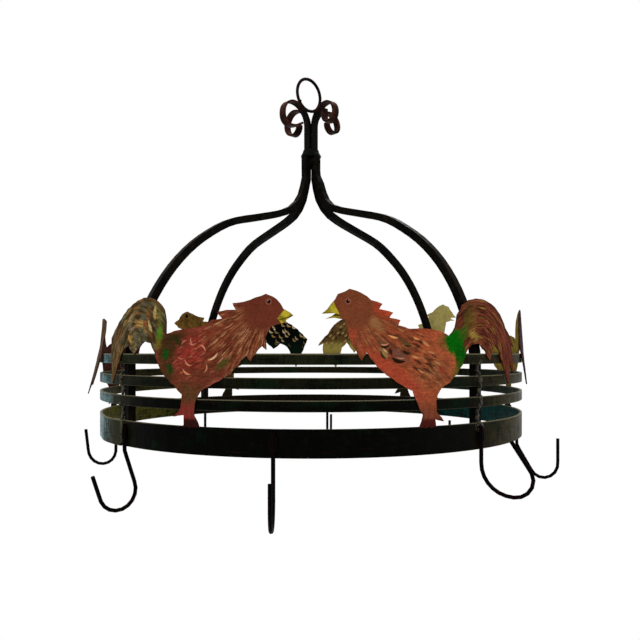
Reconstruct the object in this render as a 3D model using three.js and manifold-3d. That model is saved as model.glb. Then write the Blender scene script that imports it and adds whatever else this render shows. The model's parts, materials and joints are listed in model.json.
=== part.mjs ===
// A hanging pot rack of welded iron: three narrow hoops and a wide band round four bent
// square bars, a crown of scrolls with a ring to hang the rack by, six sheet-metal
// roosters round the hoops and eight hooks on the band.
//
// Millimetres, +Z up, -Y is the front. Azimuths are in degrees from the front, towards +X.
// Pieces are drawn with z = 0 at the top edge of the top hoop. The finished group is then
// moved so that its origin is the inside top of the hanging ring.

import * as THREE from 'three';
import { mergeVertices } from 'three/addons/utils/BufferGeometryUtils.js';
import Module from 'manifold-3d';

const wasm = await Module();
wasm.setup();

// ---------------------------------------------------------------- driving dimensions

const CONTACT_GAP = 0.3; // left between two pieces that touch

// Hoops of flat iron strip
const HOOP_RADIUS = 250; // outer
const STRIP_THICKNESS = 2.5;
const NARROW_HEIGHT = 10;
const NARROW_HOOPS = [
  { name: 'top_hoop', top: 0, seam: 180.5 },
  { name: 'second_hoop', top: -21.3, seam: 181 },
  { name: 'third_hoop', top: -41.2, seam: 162 },
];
const SEAM_PROUD = 1; // how far the weld of a hoop's butted ends stands out
const SEAM_INSET = 0.5; // of that weld from the strip's edges
const HOOP_SEGMENTS = 80;

// The wide band under them, closed by a lap of its two ends
const BAND_TOP = -66;
const BAND_HEIGHT = 25.4;
const LAP_END = -48.4; // azimuth of the outer end
const LAP_ANGLE = 5.7;
const JOGGLE_START = 18; // degrees before the outer end
const JOGGLE_END = 9.2;
const BAND_STEPS = 100;

// Arms of square bar, inside the hoops
const BAR_WIDTH = 8;
const DOME_HEIGHT = 242.5; // from the top hoop's top edge to the arms' tops
const ARM_FOOT_INSET = 6; // from the band's bottom edge up to the arms' feet
const ARM_STEPS = 36;
// Hand-bent bars differ: in reach at the neck, and in height at the shoulder under it
const NECK_SHARE = 0.82; // of the dome's height
const SHOULDER_SHARE = 0.69;
const BUMP_SPREAD = 0.07;
const ARMS = [
  { name: 'arm_front_left', azimuth: -47.9, bulge: 0, neck: -1, sag: 2.4 },
  { name: 'arm_front_right', azimuth: 40.7, bulge: 9, neck: 5.5, sag: 0 },
  { name: 'arm_back_right', azimuth: 131.5, bulge: 0, neck: -1.5, sag: 0 },
  { name: 'arm_back_left', azimuth: -138.5, bulge: 0, neck: 0.5, sag: 0 },
];
// An arm's line from the crown down to the top hoop: shares of its reach and of its rise
const ARM_SHAPE = [
  [0, 1],
  [0, 0.96],
  [0.001, 0.89],
  [0.014, 0.85],
  [0.041, 0.784],
  [0.092, 0.734],
  [0.169, 0.701],
  [0.305, 0.662],
  [0.484, 0.608],
  [0.603, 0.542],
  [0.697, 0.474],
  [0.774, 0.4],
  [0.833, 0.328],
  [0.887, 0.247],
  [0.935, 0.157],
  [0.976, 0.066],
  [0.993, 0.02],
  [1, -0.02],
];

// Crown scrolls of flat strip, standing on the arms' tops. After its flare each curls back
// through bends of a radius and a turn, with straight runs between some of them.
const SCROLL_WIDTH = 9;
const SCROLL_THICKNESS = 2.5;
const SCROLL_FLARE_RADIUS = 24;
const SCROLL_STEPS = 42;
const SCROLLS = [
  {
    name: 'scroll_front_left',
    arm: 0,
    stem: 38.2,
    curl: [{ radius: 15.4, turn: -90 }, { run: 3 }, { radius: 11, turn: -90 }, { radius: 28, turn: -40 }],
  },
  {
    name: 'scroll_front_right',
    arm: 1,
    stem: 36.7,
    curl: [{ radius: 14.5, turn: -90 }, { radius: 10, turn: -90 }, { radius: 9.5, turn: -90 }, { run: 9 }],
  },
  {
    name: 'scroll_back_right',
    arm: 2,
    stem: 38,
    curl: [{ radius: 15, turn: -90 }, { radius: 8.2, turn: -90 }, { radius: 10, turn: -100 }],
  },
  {
    name: 'scroll_back_left',
    arm: 3,
    stem: 41.4,
    curl: [{ radius: 15.6, turn: -90 }, { radius: 14.2, turn: -90 }, { radius: 9.5, turn: -100 }],
  },
];

// Lumpy weld that ties the scrolls to the arms
const CROWN_WELD_WALL = 3.2;
const CROWN_WELD_HEIGHT = 9;
const CROWN_WELD_SEGMENTS = 24;

// Hanging ring of round rod, welded into the fork of two scrolls
const RING_RADIUS = 19.5; // of the rod's centre line
const RING_ROD = 3.9;
const RING_AZIMUTH = -46; // its plane holds the axis and this direction
const RING_OFFSET = 3.6; // of its centre from the axis, in that direction
const RING_SEGMENTS = 30;
// The scrolls that carry it, and the side of the axis on which each stands
const RING_SCROLLS = [{ scroll: 0, side: 1 }, { scroll: 2, side: -1 }];

// Hooks of round rod, welded to the band's outer face
const HOOK_ROD = 4;
const HOOK_TOP_INSET = 3; // from the band's top edge down to the rod's top
const HOOK_STEPS = 22;
const ROD_SIDES = 7;
// Each hook: its place and yaw, then along its rod past the band a straight run, a lean
// sideways, a leg, the round bend and the tip
const HOOKS = [
  {
    name: 'hook_front_left',
    azimuth: -46.6,
    yaw: 0,
    rod: [{ run: 2 }, { radius: 8, turn: -18.5 }, { run: 33.8 }, { radius: 19.1, turn: 180 }, { run: 24.5 }],
  },
  { name: 'hook_front', azimuth: -7.5, yaw: 7.5, rod: [{ run: 35.5 }, { radius: 21.5, turn: 180 }, { run: 22 }] },
  {
    name: 'hook_front_right',
    azimuth: 40,
    yaw: 40,
    rod: [{ run: 12.8 }, { radius: 32, turn: 88 }, { radius: 16.2, turn: 124 }, { run: 33 }],
  },
  {
    name: 'hook_right',
    azimuth: 87.5,
    yaw: 0,
    rod: [{ run: 17.5 }, { radius: 10, turn: 30 }, { run: 34 }, { radius: 16.8, turn: 150 }, { run: 31 }],
  },
  { name: 'hook_back_right', azimuth: 133, yaw: 3, rod: [{ run: 33 }, { radius: 21.5, turn: 180 }, { run: 21 }] },
  { name: 'hook_back', azimuth: 174, yaw: -4, rod: [{ run: 32 }, { radius: 21, turn: 178 }, { run: 22 }] },
  { name: 'hook_back_left', azimuth: -140, yaw: 2, rod: [{ run: 33 }, { radius: 21.5, turn: 180 }, { run: 22 }] },
  { name: 'hook_left', azimuth: -96.5, yaw: 0, rod: [{ run: 32 }, { radius: 18.6, turn: 173 }, { run: 28 }] },
];

// Roosters cut from sheet and bent round the hoops' outer faces
const SHEET_THICKNESS = 1.2;
const SHEET_COLUMNS = 14; // facets round the bend
const SHEET_ROWS = 2;
const OUTLINE_PITCH = 11; // length of the facets along a cut edge
const LEAN_START = 35; // behind the leg, where the tail starts to twist
const LEAN_FULL = 110;
const LEAN_AXIS = 2; // height about which the tail twists
const LEG_FOOT = -62; // between these heights a longer leg is stretched
const LEG_TOP = -34;

// Weld beads: half the width across a joint
const BEAD_RADIUS = 1.8;
const TACK_RADIUS = 1.5;
const TACK_TURN = Math.PI / 9; // of the ring's tacks, from where it rests
const BEAD_FACETS = 6;

// ---------------------------------------------------------------- sizes that follow

const HOOP_INNER = HOOP_RADIUS - STRIP_THICKNESS;
const ARM_RADIUS = HOOP_INNER - CONTACT_GAP - BAR_WIDTH / 2;
const ARM_ROOT = BAR_WIDTH + CONTACT_GAP;
const BAND_BOTTOM = BAND_TOP - BAND_HEIGHT;
const ARM_FOOT = BAND_BOTTOM + ARM_FOOT_INSET;
const CROWN_BASE = DOME_HEIGHT + CONTACT_GAP;
const SCROLL_ROOT = SCROLL_WIDTH / 2 + 1.5 * CONTACT_GAP + SCROLL_THICKNESS / 2;
const HOOK_RADIUS = HOOP_RADIUS + CONTACT_GAP + HOOK_ROD / 2;
const SHEET_RADIUS = HOOP_RADIUS + CONTACT_GAP; // of a rooster's back face

// ---------------------------------------------------------------- rooster outlines

// Flat outlines as strokes that meet at sharp corners. Each point is [run towards the beak
// from the middle of the foot, height over the top hoop's top edge].
const CLOSED_BEAK_ROOSTER = [
  [[-25, 18], [-25, 31], [-30, 44.5], [-50, 53.3], [-73, 50], [-92, 43], [-108, 33], [-119, 23], [-126, 16]],
  [[-126, 16], [-119, -2], [-108, -30]],
  [[-108, -30], [-101, -13], [-96, -1], [-90, 5], [-82, 8]],
  [[-82, 8], [-76, 3], [-71, -1]],
  [[-71, -1], [-66, 2], [-61, 8], [-54, 12], [-46, 10], [-41, 3], [-37, -6], [-32, -15], [-24, -23], [-14, -30]],
  [[-14, -30], [-8, -32], [-6, -40], [-8, -50], [-16, -58]],
  [[-16, -58], [-10, -57], [-4, -56]],
  [[-4, -56], [-4, -66.5]],
  [[-4, -66.5], [13, -66.5]],
  [[13, -66.5], [8, -58], [7, -51], [9, -43], [14, -34]],
  [[14, -34], [22, -30], [40, -21], [46, -16], [55, -6], [59, -2]],
  [[59, -2], [61, -4], [63, -7]],
  [[63, -7], [68, 1], [73, 6.5]],
  [[73, 6.5], [75, 5], [77, 3]],
  [[77, 3], [76, 13], [78, 19], [82, 24], [90, 26], [96, 28], [100.5, 33]],
  [[100.5, 33], [93, 37.5], [88, 44.5], [83, 50], [76, 52], [69, 50], [62, 46.5], [54, 45], [46, 44.3]],
  [[46, 44.3], [49, 38.5]],
  [[49, 38.5], [40, 38.5], [31, 37]],
  [[31, 37], [36, 31]],
  [[36, 31], [26, 30], [21, 25.5], [13, 24], [3, 23], [-11, 21.5], [-25, 18]],
];
const OPEN_BEAK_ROOSTER = [
  [[-24, 16], [-31, 23], [-33, 32], [-37, 42], [-48, 49.5], [-64, 52.5], [-82, 51.5], [-102, 46], [-115, 36]],
  [[-115, 36], [-122, 26], [-132, 17], [-140, 7]],
  [[-140, 7], [-135, 9], [-131, 11]],
  [[-131, 11], [-133, -4], [-129, -19]],
  [[-129, -19], [-126, -14], [-123, -10]],
  [[-123, -10], [-119, -21], [-113, -30]],
  [[-113, -30], [-109, -18], [-105, -9], [-101, 3], [-93, 10]],
  [[-93, 10], [-87, 0], [-82, -7]],
  [[-82, -7], [-77, -1], [-71, 6], [-65, 9.5], [-56, 9], [-48, 5], [-45, -3], [-41, -11], [-34, -19]],
  [[-34, -19], [-26, -26], [-17, -31], [-12, -34], [-9.5, -39], [-9, -52], [-18, -62]],
  [[-18, -62], [-13, -61], [-8, -59.5]],
  [[-8, -59.5], [-9, -66.5]],
  [[-9, -66.5], [9, -66.5]],
  [[9, -66.5], [5, -58], [6, -52], [12, -43], [15.5, -33.5]],
  [[15.5, -33.5], [24, -29.5], [39, -20], [47.5, -13.5], [54, -6.5], [59, 1]],
  [[59, 1], [62, -2], [64, -6.5]],
  [[64, -6.5], [67, 0], [70, 4], [75.5, 15], [77, 25.5], [79, 29.5]],
  [[79, 29.5], [86, 31], [96, 30]],
  [[96, 30], [87, 35]],
  [[87, 35], [99, 34.5]],
  [[99, 34.5], [91, 43], [87, 50], [80, 54.5], [73, 56.5], [67, 55], [60, 48.5], [53, 46], [45, 43.5]],
  [[45, 43.5], [48, 39]],
  [[48, 39], [41.5, 38.5], [35, 36]],
  [[35, 36], [38.5, 31.5]],
  [[38.5, 31.5], [33, 31], [28, 29.5]],
  [[28, 29.5], [30, 25]],
  [[30, 25], [26, 22.5], [18, 22], [4, 22.5], [-12, 20.5], [-24, 16]],
];
// faces: 1 looks towards growing azimuth. lean and tilt are in degrees, and rise is how much
// longer a leg is than on the outline.
const ROOSTERS = [
  {
    name: 'rooster_front_left',
    outline: CLOSED_BEAK_ROOSTER,
    azimuth: -26.5,
    faces: 1,
    lean: 7,
    tilt: 0,
    rise: 0,
  },
  {
    name: 'rooster_front_right',
    outline: OPEN_BEAK_ROOSTER,
    azimuth: 24.8,
    faces: -1,
    lean: 7,
    tilt: 0,
    rise: 0,
  },
  {
    name: 'rooster_right',
    outline: CLOSED_BEAK_ROOSTER,
    azimuth: 93.5,
    faces: 1,
    lean: 7.5,
    tilt: 2,
    rise: 0,
  },
  {
    name: 'rooster_back_right',
    outline: OPEN_BEAK_ROOSTER,
    azimuth: 144.4,
    faces: -1,
    lean: 4,
    tilt: 3,
    rise: 12.5,
  },
  {
    name: 'rooster_back_left',
    outline: CLOSED_BEAK_ROOSTER,
    azimuth: -149.5,
    faces: 1,
    lean: 4,
    tilt: 1,
    rise: 9.5,
  },
  {
    name: 'rooster_left',
    outline: OPEN_BEAK_ROOSTER,
    azimuth: -94,
    faces: -1,
    lean: 14.8,
    tilt: 2.5,
    rise: -9,
  },
];

// ---------------------------------------------------------------- materials

const paint = (color, roughness, metalness) =>
  new THREE.MeshStandardMaterial({ color, roughness, metalness });
const HOOP_PAINT = paint(0x2a2f24, 0.42, 0.55);
const BAR_PAINT = paint(0x3b2a22, 0.45, 0.5);
const CROWN_PAINT = paint(0x5a3b2a, 0.5, 0.5);
const HOOK_PAINT = paint(0x211815, 0.4, 0.6);
const STEEL = paint(0x6d655c, 0.45, 0.8);
const ROSE_PAINT = paint(0x8d4f45, 0.45, 0.25);
const SALMON_PAINT = paint(0xa75a41, 0.45, 0.25);
const OLIVE_PAINT = paint(0x6b6238, 0.5, 0.3);

// ---------------------------------------------------------------- helpers

const radians = THREE.MathUtils.degToRad;

/** The closed solid that a geometry bounds, ready to be joined or cut. */
function solid(geometry) {
  const bare = geometry.clone();
  bare.deleteAttribute('normal');
  bare.deleteAttribute('uv');
  const merged = mergeVertices(bare);
  return new wasm.Manifold(new wasm.Mesh({
    numProp: 3,
    vertProperties: merged.attributes.position.array,
    triVerts: new Uint32Array(merged.index.array),
  }));
}

/** The faceted geometry of a solid. */
function geometryOf(body) {
  const { vertProperties, triVerts } = body.getMesh();
  const geometry = new THREE.BufferGeometry();
  geometry.setAttribute('position', new THREE.BufferAttribute(vertProperties, 3));
  geometry.setIndex(new THREE.BufferAttribute(triVerts, 1));
  const faceted = geometry.toNonIndexed();
  faceted.computeVertexNormals();
  return faceted;
}

/** One body made of a geometry and the lumps of weld that are part of it. */
function fuse(geometry, lumps) {
  return geometryOf(lumps.reduce((body, lump) => body.add(solid(lump)), solid(geometry)));
}

/** A lump of weld: an egg-shaped bead with the given half sizes, at a place. */
function bead(halfX, halfY, halfZ, x, y, z) {
  const lump = new THREE.SphereGeometry(1, BEAD_FACETS, BEAD_FACETS / 2);
  lump.rotateX(Math.PI / 2);
  lump.scale(halfX, halfY, halfZ);
  return lump.translate(x, y, z);
}

/** Turns what was drawn in the plane of +X to its azimuth. */
const turnTo = (thing, azimuth) => thing.rotateZ(radians(azimuth - 90));

/** The corners of a rectangle round a centre, anticlockwise. */
function rectangle(width, height, centreX = 0, centreY = 0) {
  const corners = [[-1, -1], [1, -1], [1, 1], [-1, 1]];
  return corners.map(([x, y]) => new THREE.Vector2(centreX + (x * width) / 2, centreY + (y * height) / 2));
}

/** A bar of one section along a line. */
function barAlong(sectionPoints, line, steps) {
  const section = new THREE.Shape(sectionPoints);
  return new THREE.ExtrudeGeometry(section, { steps, extrudePath: line, bevelEnabled: false });
}

/** The section of a round rod. */
function rodSection(diameter) {
  const corner = (_, index) => {
    const turn = ((index + 0.5) / ROD_SIDES) * 2 * Math.PI;
    return new THREE.Vector2(Math.cos(turn), Math.sin(turn)).multiplyScalar(diameter / 2);
  };
  return Array.from({ length: ROD_SIDES }, corner);
}

/** A straight stretch of a bent line. */
const straight = (length) => ({ length, turn: 0 });

/** A round bend of a bent line, in degrees: positive turns from +X towards +Z. */
const bend = (radius, degrees) => ({ length: radius * Math.abs(radians(degrees)), turn: radians(degrees) });

/** A stretch as the tables give it: a straight run, or a bend of a radius and a turn. */
const stretch = ({ run, radius, turn }) => (run ? straight(run) : bend(radius, turn));

/** A line in the XZ plane made of straight stretches and round bends, one after another. */
class BentLine extends THREE.Curve {
  constructor(x, z, heading, stretches) {
    super();
    this.start = { x, z, heading: radians(heading) };
    this.stretches = stretches.filter(({ length }) => length > 0);
    this.total = this.stretches.reduce((sum, { length }) => sum + length, 0);
  }

  getPoint(t, target = new THREE.Vector3()) {
    let { x, z, heading } = this.start;
    let left = t * this.total;
    for (const { length, turn } of this.stretches) {
      const run = Math.min(left, length);
      const turned = (turn * run) / length;
      const chord = turned === 0 ? run : (2 * length * Math.sin(turned / 2)) / turn;
      x += chord * Math.cos(heading + turned / 2);
      z += chord * Math.sin(heading + turned / 2);
      heading += turned;
      left -= run;
    }
    return target.set(x, 0, z);
  }
}

// ---------------------------------------------------------------- hoops and band

/** A closed hoop of flat strip between two heights, with the weld of its butted ends. */
function narrowHoop({ top, seam }) {
  const middle = HOOP_INNER + STRIP_THICKNESS / 2;
  const height = top - NARROW_HEIGHT / 2;
  const section = rectangle(STRIP_THICKNESS, NARROW_HEIGHT, middle, height);
  const strip = new THREE.LatheGeometry([...section, section[0]], HOOP_SEGMENTS).rotateX(Math.PI / 2);
  const halfWeld = NARROW_HEIGHT / 2 - SEAM_INSET;
  const weld = bead(STRIP_THICKNESS / 2, BEAD_RADIUS, halfWeld, middle + SEAM_PROUD, 0, height);
  return fuse(strip, [turnTo(weld, seam)]);
}

/** The band's middle line: a circle whose last stretch steps out over its own beginning. */
class LappedCircle extends THREE.Curve {
  getPoint(t, target = new THREE.Vector3()) {
    const beforeEnd = (1 - t) * (360 + LAP_ANGLE);
    const lift = THREE.MathUtils.smoothstep(-beforeEnd, -JOGGLE_START, -JOGGLE_END);
    const radius = HOOP_INNER + STRIP_THICKNESS / 2 + lift * (STRIP_THICKNESS + CONTACT_GAP);
    const azimuth = radians(LAP_END - beforeEnd);
    return target.set(radius * Math.sin(azimuth), -radius * Math.cos(azimuth), BAND_TOP - BAND_HEIGHT / 2);
  }
}

/** The wide band that carries the hooks. */
function hookBand() {
  return barAlong(rectangle(BAND_HEIGHT, STRIP_THICKNESS), new LappedCircle(), BAND_STEPS);
}

// ---------------------------------------------------------------- arms

/** An arm's line: out from the crown, down over the dome and straight down inside the hoops. */
function armLine({ bulge, neck, sag }) {
  const reach = ARM_RADIUS - ARM_ROOT;
  const dome = ARM_SHAPE.map(([out, up]) => {
    const near = (share) => Math.exp(-(((up - share) / BUMP_SPREAD) ** 2));
    const swell = 4 * up * (1 - up) * Math.sqrt(out) * bulge + near(NECK_SHARE) * neck;
    const height = up * DOME_HEIGHT - near(SHOULDER_SHARE) * sag;
    return new THREE.Vector3(ARM_ROOT + out * reach + swell, 0, height);
  });
  const leg = [0.12, 0.25, 0.6, 1].map((share) => new THREE.Vector3(ARM_RADIUS, 0, share * ARM_FOOT));
  return new THREE.CatmullRomCurve3([...dome, ...leg]);
}

/** An arm with the weld beads that hold it to the hoops and the band. */
function arm(shape) {
  const bar = barAlong(rectangle(BAR_WIDTH, BAR_WIDTH), armLine(shape), ARM_STEPS);
  const beadX = HOOP_INNER - CONTACT_GAP - BEAD_RADIUS;
  const strips = NARROW_HOOPS.map(({ top }) => [top - NARROW_HEIGHT / 2, NARROW_HEIGHT]);
  strips.push([BAND_TOP - BAND_HEIGHT / 2, BAND_HEIGHT * 0.7]);
  const beads = strips.flatMap(([z, height]) => [-1, 1].map((side) => {
    const y = side * (BAR_WIDTH / 2 + BEAD_RADIUS / 3);
    return bead(BEAD_RADIUS, BEAD_RADIUS, height / 2, beadX, y, z);
  }));
  return turnTo(fuse(bar, beads), shape.azimuth);
}

// ---------------------------------------------------------------- crown

/** A scroll's line: a stem, a flare outwards and a curl that turns back to the stem. */
function scrollLine({ stem, curl }) {
  const flare = bend(SCROLL_FLARE_RADIUS, -90);
  return new BentLine(SCROLL_ROOT, CROWN_BASE, 90, [straight(stem), flare, ...curl.map(stretch)]);
}

/** A crown scroll of flat strip, its flat side to the axis. */
function scroll(shape) {
  const section = rectangle(SCROLL_WIDTH, SCROLL_THICKNESS);
  const strip = barAlong(section, scrollLine(shape), SCROLL_STEPS);
  return turnTo(strip, ARMS[shape.arm].azimuth);
}

/** The collar of weld round the scrolls' feet, uneven as a hand-laid weld is. */
function crownWeld() {
  const scrollCorner = Math.hypot(SCROLL_ROOT + SCROLL_THICKNESS / 2, SCROLL_WIDTH / 2);
  const inner = scrollCorner + CONTACT_GAP;
  const outer = inner + CROWN_WELD_WALL;
  const height = CROWN_WELD_HEIGHT;
  const profile = [[inner, 0], [outer - 0.6, 0], [outer, height * 0.25], [outer - 2, height * 0.7],
    [inner + 0.6, height], [inner, height * 0.85], [inner, 0]];
  const points = profile.map(([x, y]) => new THREE.Vector2(x, CROWN_BASE + y));
  const collar = new THREE.LatheGeometry(points, CROWN_WELD_SEGMENTS).rotateX(Math.PI / 2);
  const position = collar.attributes.position;
  for (let index = 0; index < position.count; index += 1) {
    const x = position.getX(index);
    const y = position.getY(index);
    const turn = Math.atan2(y, x);
    const outwards = (Math.hypot(x, y) - inner) / CROWN_WELD_WALL;
    const swell = 1 + outwards * (0.05 * Math.sin(4 * turn + 0.7) + 0.04 * Math.sin(9 * turn));
    position.setXY(index, x * swell, y * swell);
  }
  return collar;
}

/** Height at which the ring's centre rests on the flares of the two scrolls in its plane. */
function ringHeight() {
  const reach = RING_RADIUS + RING_ROD / 2 + CONTACT_GAP + SCROLL_THICKNESS / 2;
  const heights = RING_SCROLLS.flatMap(({ scroll: index, side }) => {
    const base = CROWN_BASE + SCROLLS[index].stem;
    const flare = new BentLine(SCROLL_ROOT, base, 90, [bend(SCROLL_FLARE_RADIUS, -90)]);
    return flare.getPoints(60).map(({ x, z }) => {
      const across = side * x - RING_OFFSET;
      return Math.abs(across) < reach ? z + Math.sqrt(reach ** 2 - across ** 2) : -Infinity;
    });
  });
  return Math.max(...heights);
}

/** The hanging ring with the two tacks beside the place where it rests. */
function hangingRing() {
  const ring = new THREE.TorusGeometry(RING_RADIUS, RING_ROD / 2, ROD_SIDES, RING_SEGMENTS);
  ring.rotateX(Math.PI / 2);
  const flareCentre = SCROLL_ROOT + SCROLL_FLARE_RADIUS;
  const flareBase = CROWN_BASE + SCROLLS[RING_SCROLLS[0].scroll].stem;
  const rest = Math.atan2(flareBase - ringHeight(), flareCentre - RING_OFFSET) + TACK_TURN;
  const tacks = [-1, 1].map((side) => bead(
    TACK_RADIUS,
    TACK_RADIUS,
    TACK_RADIUS,
    RING_RADIUS * Math.cos(rest),
    side * RING_ROD * 0.5,
    RING_RADIUS * Math.sin(rest),
  ));
  return turnTo(fuse(ring, tacks).translate(RING_OFFSET, 0, ringHeight()), RING_AZIMUTH);
}

// ---------------------------------------------------------------- hooks

/** A hook's line, from the top of its shank down, round and up to its tip. */
function hookLine({ rod }) {
  const top = BAND_TOP - HOOK_TOP_INSET;
  return new BentLine(0, top, -90, [straight(top - BAND_BOTTOM), ...rod.map(stretch)]);
}

/** A hook with the two long weld beads beside its shank. */
function hook(shape) {
  const rod = barAlong(rodSection(HOOK_ROD), hookLine(shape), HOOK_STEPS).rotateZ(radians(shape.yaw));
  const beadX = CONTACT_GAP / 2 + BEAD_RADIUS - HOOK_ROD / 2;
  const beadY = HOOK_ROD / 2 + BEAD_RADIUS / 4;
  const beads = [-1, 1].map((side) => bead(
    BEAD_RADIUS,
    BEAD_RADIUS,
    BAND_HEIGHT * 0.32,
    beadX,
    side * beadY,
    BAND_TOP - BAND_HEIGHT / 2,
  ));
  return turnTo(fuse(rod, beads).translate(HOOK_RADIUS, 0, 0), shape.azimuth);
}

// ---------------------------------------------------------------- roosters

/** The flat outline of a rooster, smooth along each stroke and sharp where strokes meet. */
function outlinePoints({ outline, faces, rise }) {
  return outline.flatMap((stroke) => {
    const corners = stroke.map(([run, height]) => {
      const lifted = height + rise * THREE.MathUtils.smoothstep(height, LEG_FOOT, LEG_TOP);
      return new THREE.Vector2(run * faces, lifted);
    });
    const curve = new THREE.SplineCurve(corners);
    return curve.getSpacedPoints(Math.max(1, Math.round(curve.getLength() / OUTLINE_PITCH))).slice(0, -1);
  });
}

/** Wraps a flat geometry (x run, y height, z outwards) round the hoops, as a rooster is bent. */
function wrapRoundHoops(geometry, { azimuth, faces, lean, tilt }) {
  const position = geometry.attributes.position;
  const slope = Math.tan(radians(lean));
  const tip = radians(tilt) * faces;
  for (let index = 0; index < position.count; index += 1) {
    const run = position.getX(index);
    const height = position.getY(index);
    const overFoot = height - BAND_TOP;
    const turnedRun = run * Math.cos(tip) - overFoot * Math.sin(tip);
    const turnedHeight = BAND_TOP + run * Math.sin(tip) + overFoot * Math.cos(tip);
    const twist = THREE.MathUtils.smoothstep(-run * faces, LEAN_START, LEAN_FULL);
    const radius = SHEET_RADIUS + position.getZ(index) - twist * slope * (turnedHeight - LEAN_AXIS);
    const turn = radians(azimuth) + turnedRun / SHEET_RADIUS;
    position.setXYZ(index, radius * Math.sin(turn), -radius * Math.cos(turn), turnedHeight);
  }
  return geometry;
}

/** A rooster: the part of a bent sheet inside its outline, with the tacks at its foot. */
function rooster(shape) {
  const points = outlinePoints(shape);
  const limits = new THREE.Box2().setFromPoints(points).expandByScalar(OUTLINE_PITCH);
  const size = limits.getSize(new THREE.Vector2());
  const centre = limits.getCenter(new THREE.Vector2());
  const sheet = new THREE.BoxGeometry(size.x, size.y, SHEET_THICKNESS, SHEET_COLUMNS, SHEET_ROWS, 1);
  sheet.translate(centre.x, centre.y, SHEET_THICKNESS / 2);
  const cutterDepth = HOOP_RADIUS / 2;
  const shapeInside = new THREE.Shape(points);
  const cutter = new THREE.ExtrudeGeometry(shapeInside, { depth: cutterDepth, bevelEnabled: false });
  cutter.translate(0, 0, -cutterDepth / 2);
  const cut = solid(wrapRoundHoops(sheet, shape)).intersect(solid(wrapRoundHoops(cutter, shape)));
  const tacks = [-0.7, 0.7].map((side) => {
    const tack = bead(TACK_RADIUS, TACK_RADIUS, TACK_RADIUS, SHEET_RADIUS + TACK_RADIUS, 0, BAND_TOP);
    return turnTo(tack, shape.azimuth + side);
  });
  return fuse(geometryOf(cut), tacks);
}

// ---------------------------------------------------------------- assembly

const rack = new THREE.Group();

/** Adds one named piece to the rack. */
function addPiece(name, geometry, material) {
  const piece = new THREE.Mesh(geometry, material);
  piece.name = name;
  rack.add(piece);
}

NARROW_HOOPS.forEach((shape) => addPiece(shape.name, narrowHoop(shape), HOOP_PAINT));
addPiece('hook_band', hookBand(), HOOP_PAINT);
ARMS.forEach((shape) => addPiece(shape.name, arm(shape), BAR_PAINT));
SCROLLS.forEach((shape) => addPiece(shape.name, scroll(shape), CROWN_PAINT));
addPiece('crown_weld', crownWeld(), CROWN_PAINT);
addPiece('hanging_ring', hangingRing(), STEEL);
HOOKS.forEach((shape) => addPiece(shape.name, hook(shape), HOOK_PAINT));

const ROOSTER_PAINTS = [ROSE_PAINT, SALMON_PAINT, OLIVE_PAINT, OLIVE_PAINT, ROSE_PAINT, ROSE_PAINT];
ROOSTERS.forEach((shape, index) => addPiece(shape.name, rooster(shape), ROOSTER_PAINTS[index]));

// The ring's inside top becomes the origin
const ringTop = ringHeight() + RING_RADIUS - RING_ROD / 2;
const ringTurn = radians(RING_AZIMUTH);
rack.position.set(-RING_OFFSET * Math.sin(ringTurn), RING_OFFSET * Math.cos(ringTurn), -ringTop);

const potRack = new THREE.Group();
potRack.add(rack);

export default potRack;
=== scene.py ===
"""Looks of a hanging pot rack.

Three narrow iron hoops and a wide band round four bent bars, a crown of scrolls with a ring,
eight hooks, and six painted sheet-metal roosters. Lengths are metres, but millimetres for what
is painted, welded or rounded on a piece. Azimuths are degrees from the front, towards +X.
"""

from __future__ import annotations

import json
import logging
import math
import random
from dataclasses import dataclass, replace
from enum import Enum
from typing import Mapping, Optional, Sequence, Union

import bmesh
import bpy
from mathutils import Matrix, Vector

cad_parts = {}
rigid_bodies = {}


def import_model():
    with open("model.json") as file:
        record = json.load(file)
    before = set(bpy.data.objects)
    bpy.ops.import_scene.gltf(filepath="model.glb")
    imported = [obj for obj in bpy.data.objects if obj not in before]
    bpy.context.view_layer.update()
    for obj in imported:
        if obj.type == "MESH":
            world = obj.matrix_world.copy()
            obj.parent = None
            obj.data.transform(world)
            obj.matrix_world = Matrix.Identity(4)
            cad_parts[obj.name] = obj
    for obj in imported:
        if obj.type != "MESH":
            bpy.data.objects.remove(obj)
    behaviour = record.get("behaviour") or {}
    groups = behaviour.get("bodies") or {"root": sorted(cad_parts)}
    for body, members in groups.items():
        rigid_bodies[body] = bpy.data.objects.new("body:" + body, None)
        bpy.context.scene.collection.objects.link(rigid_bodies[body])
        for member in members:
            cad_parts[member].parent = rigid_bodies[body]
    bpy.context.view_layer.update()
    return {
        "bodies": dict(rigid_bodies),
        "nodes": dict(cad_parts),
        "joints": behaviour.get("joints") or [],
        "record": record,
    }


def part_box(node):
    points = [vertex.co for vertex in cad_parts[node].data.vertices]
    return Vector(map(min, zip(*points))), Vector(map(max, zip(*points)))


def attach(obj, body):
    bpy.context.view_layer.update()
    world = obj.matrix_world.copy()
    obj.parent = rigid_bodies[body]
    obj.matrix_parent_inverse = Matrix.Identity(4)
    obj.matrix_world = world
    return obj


LOG = logging.getLogger("pot_rack")
MILLIMETRE = 0.001
CORNERS = ("front_left", "front_right", "back_right", "back_left")


# ---------------------------------------------------------------- colours and sockets


@dataclass(frozen=True)
class Tint:
    """A paint colour as a painter would read it off a screen, 0 to 255 a channel."""

    red: float
    green: float
    blue: float

    def linear(self) -> tuple[float, float, float, float]:
        """The colour as Blender's sockets take it."""
        return (*(self._channel(value / 255) for value in (self.red, self.green, self.blue)), 1.0)

    @staticmethod
    def _channel(value: float) -> float:
        """One channel from screen values to linear ones."""
        return value / 12.92 if value <= 0.04045 else ((value + 0.055) / 1.055) ** 2.4


Plain = Union[int, float]
Summand = Union["Number", int, float]
Shade = Union["Colour", Tint]


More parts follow.
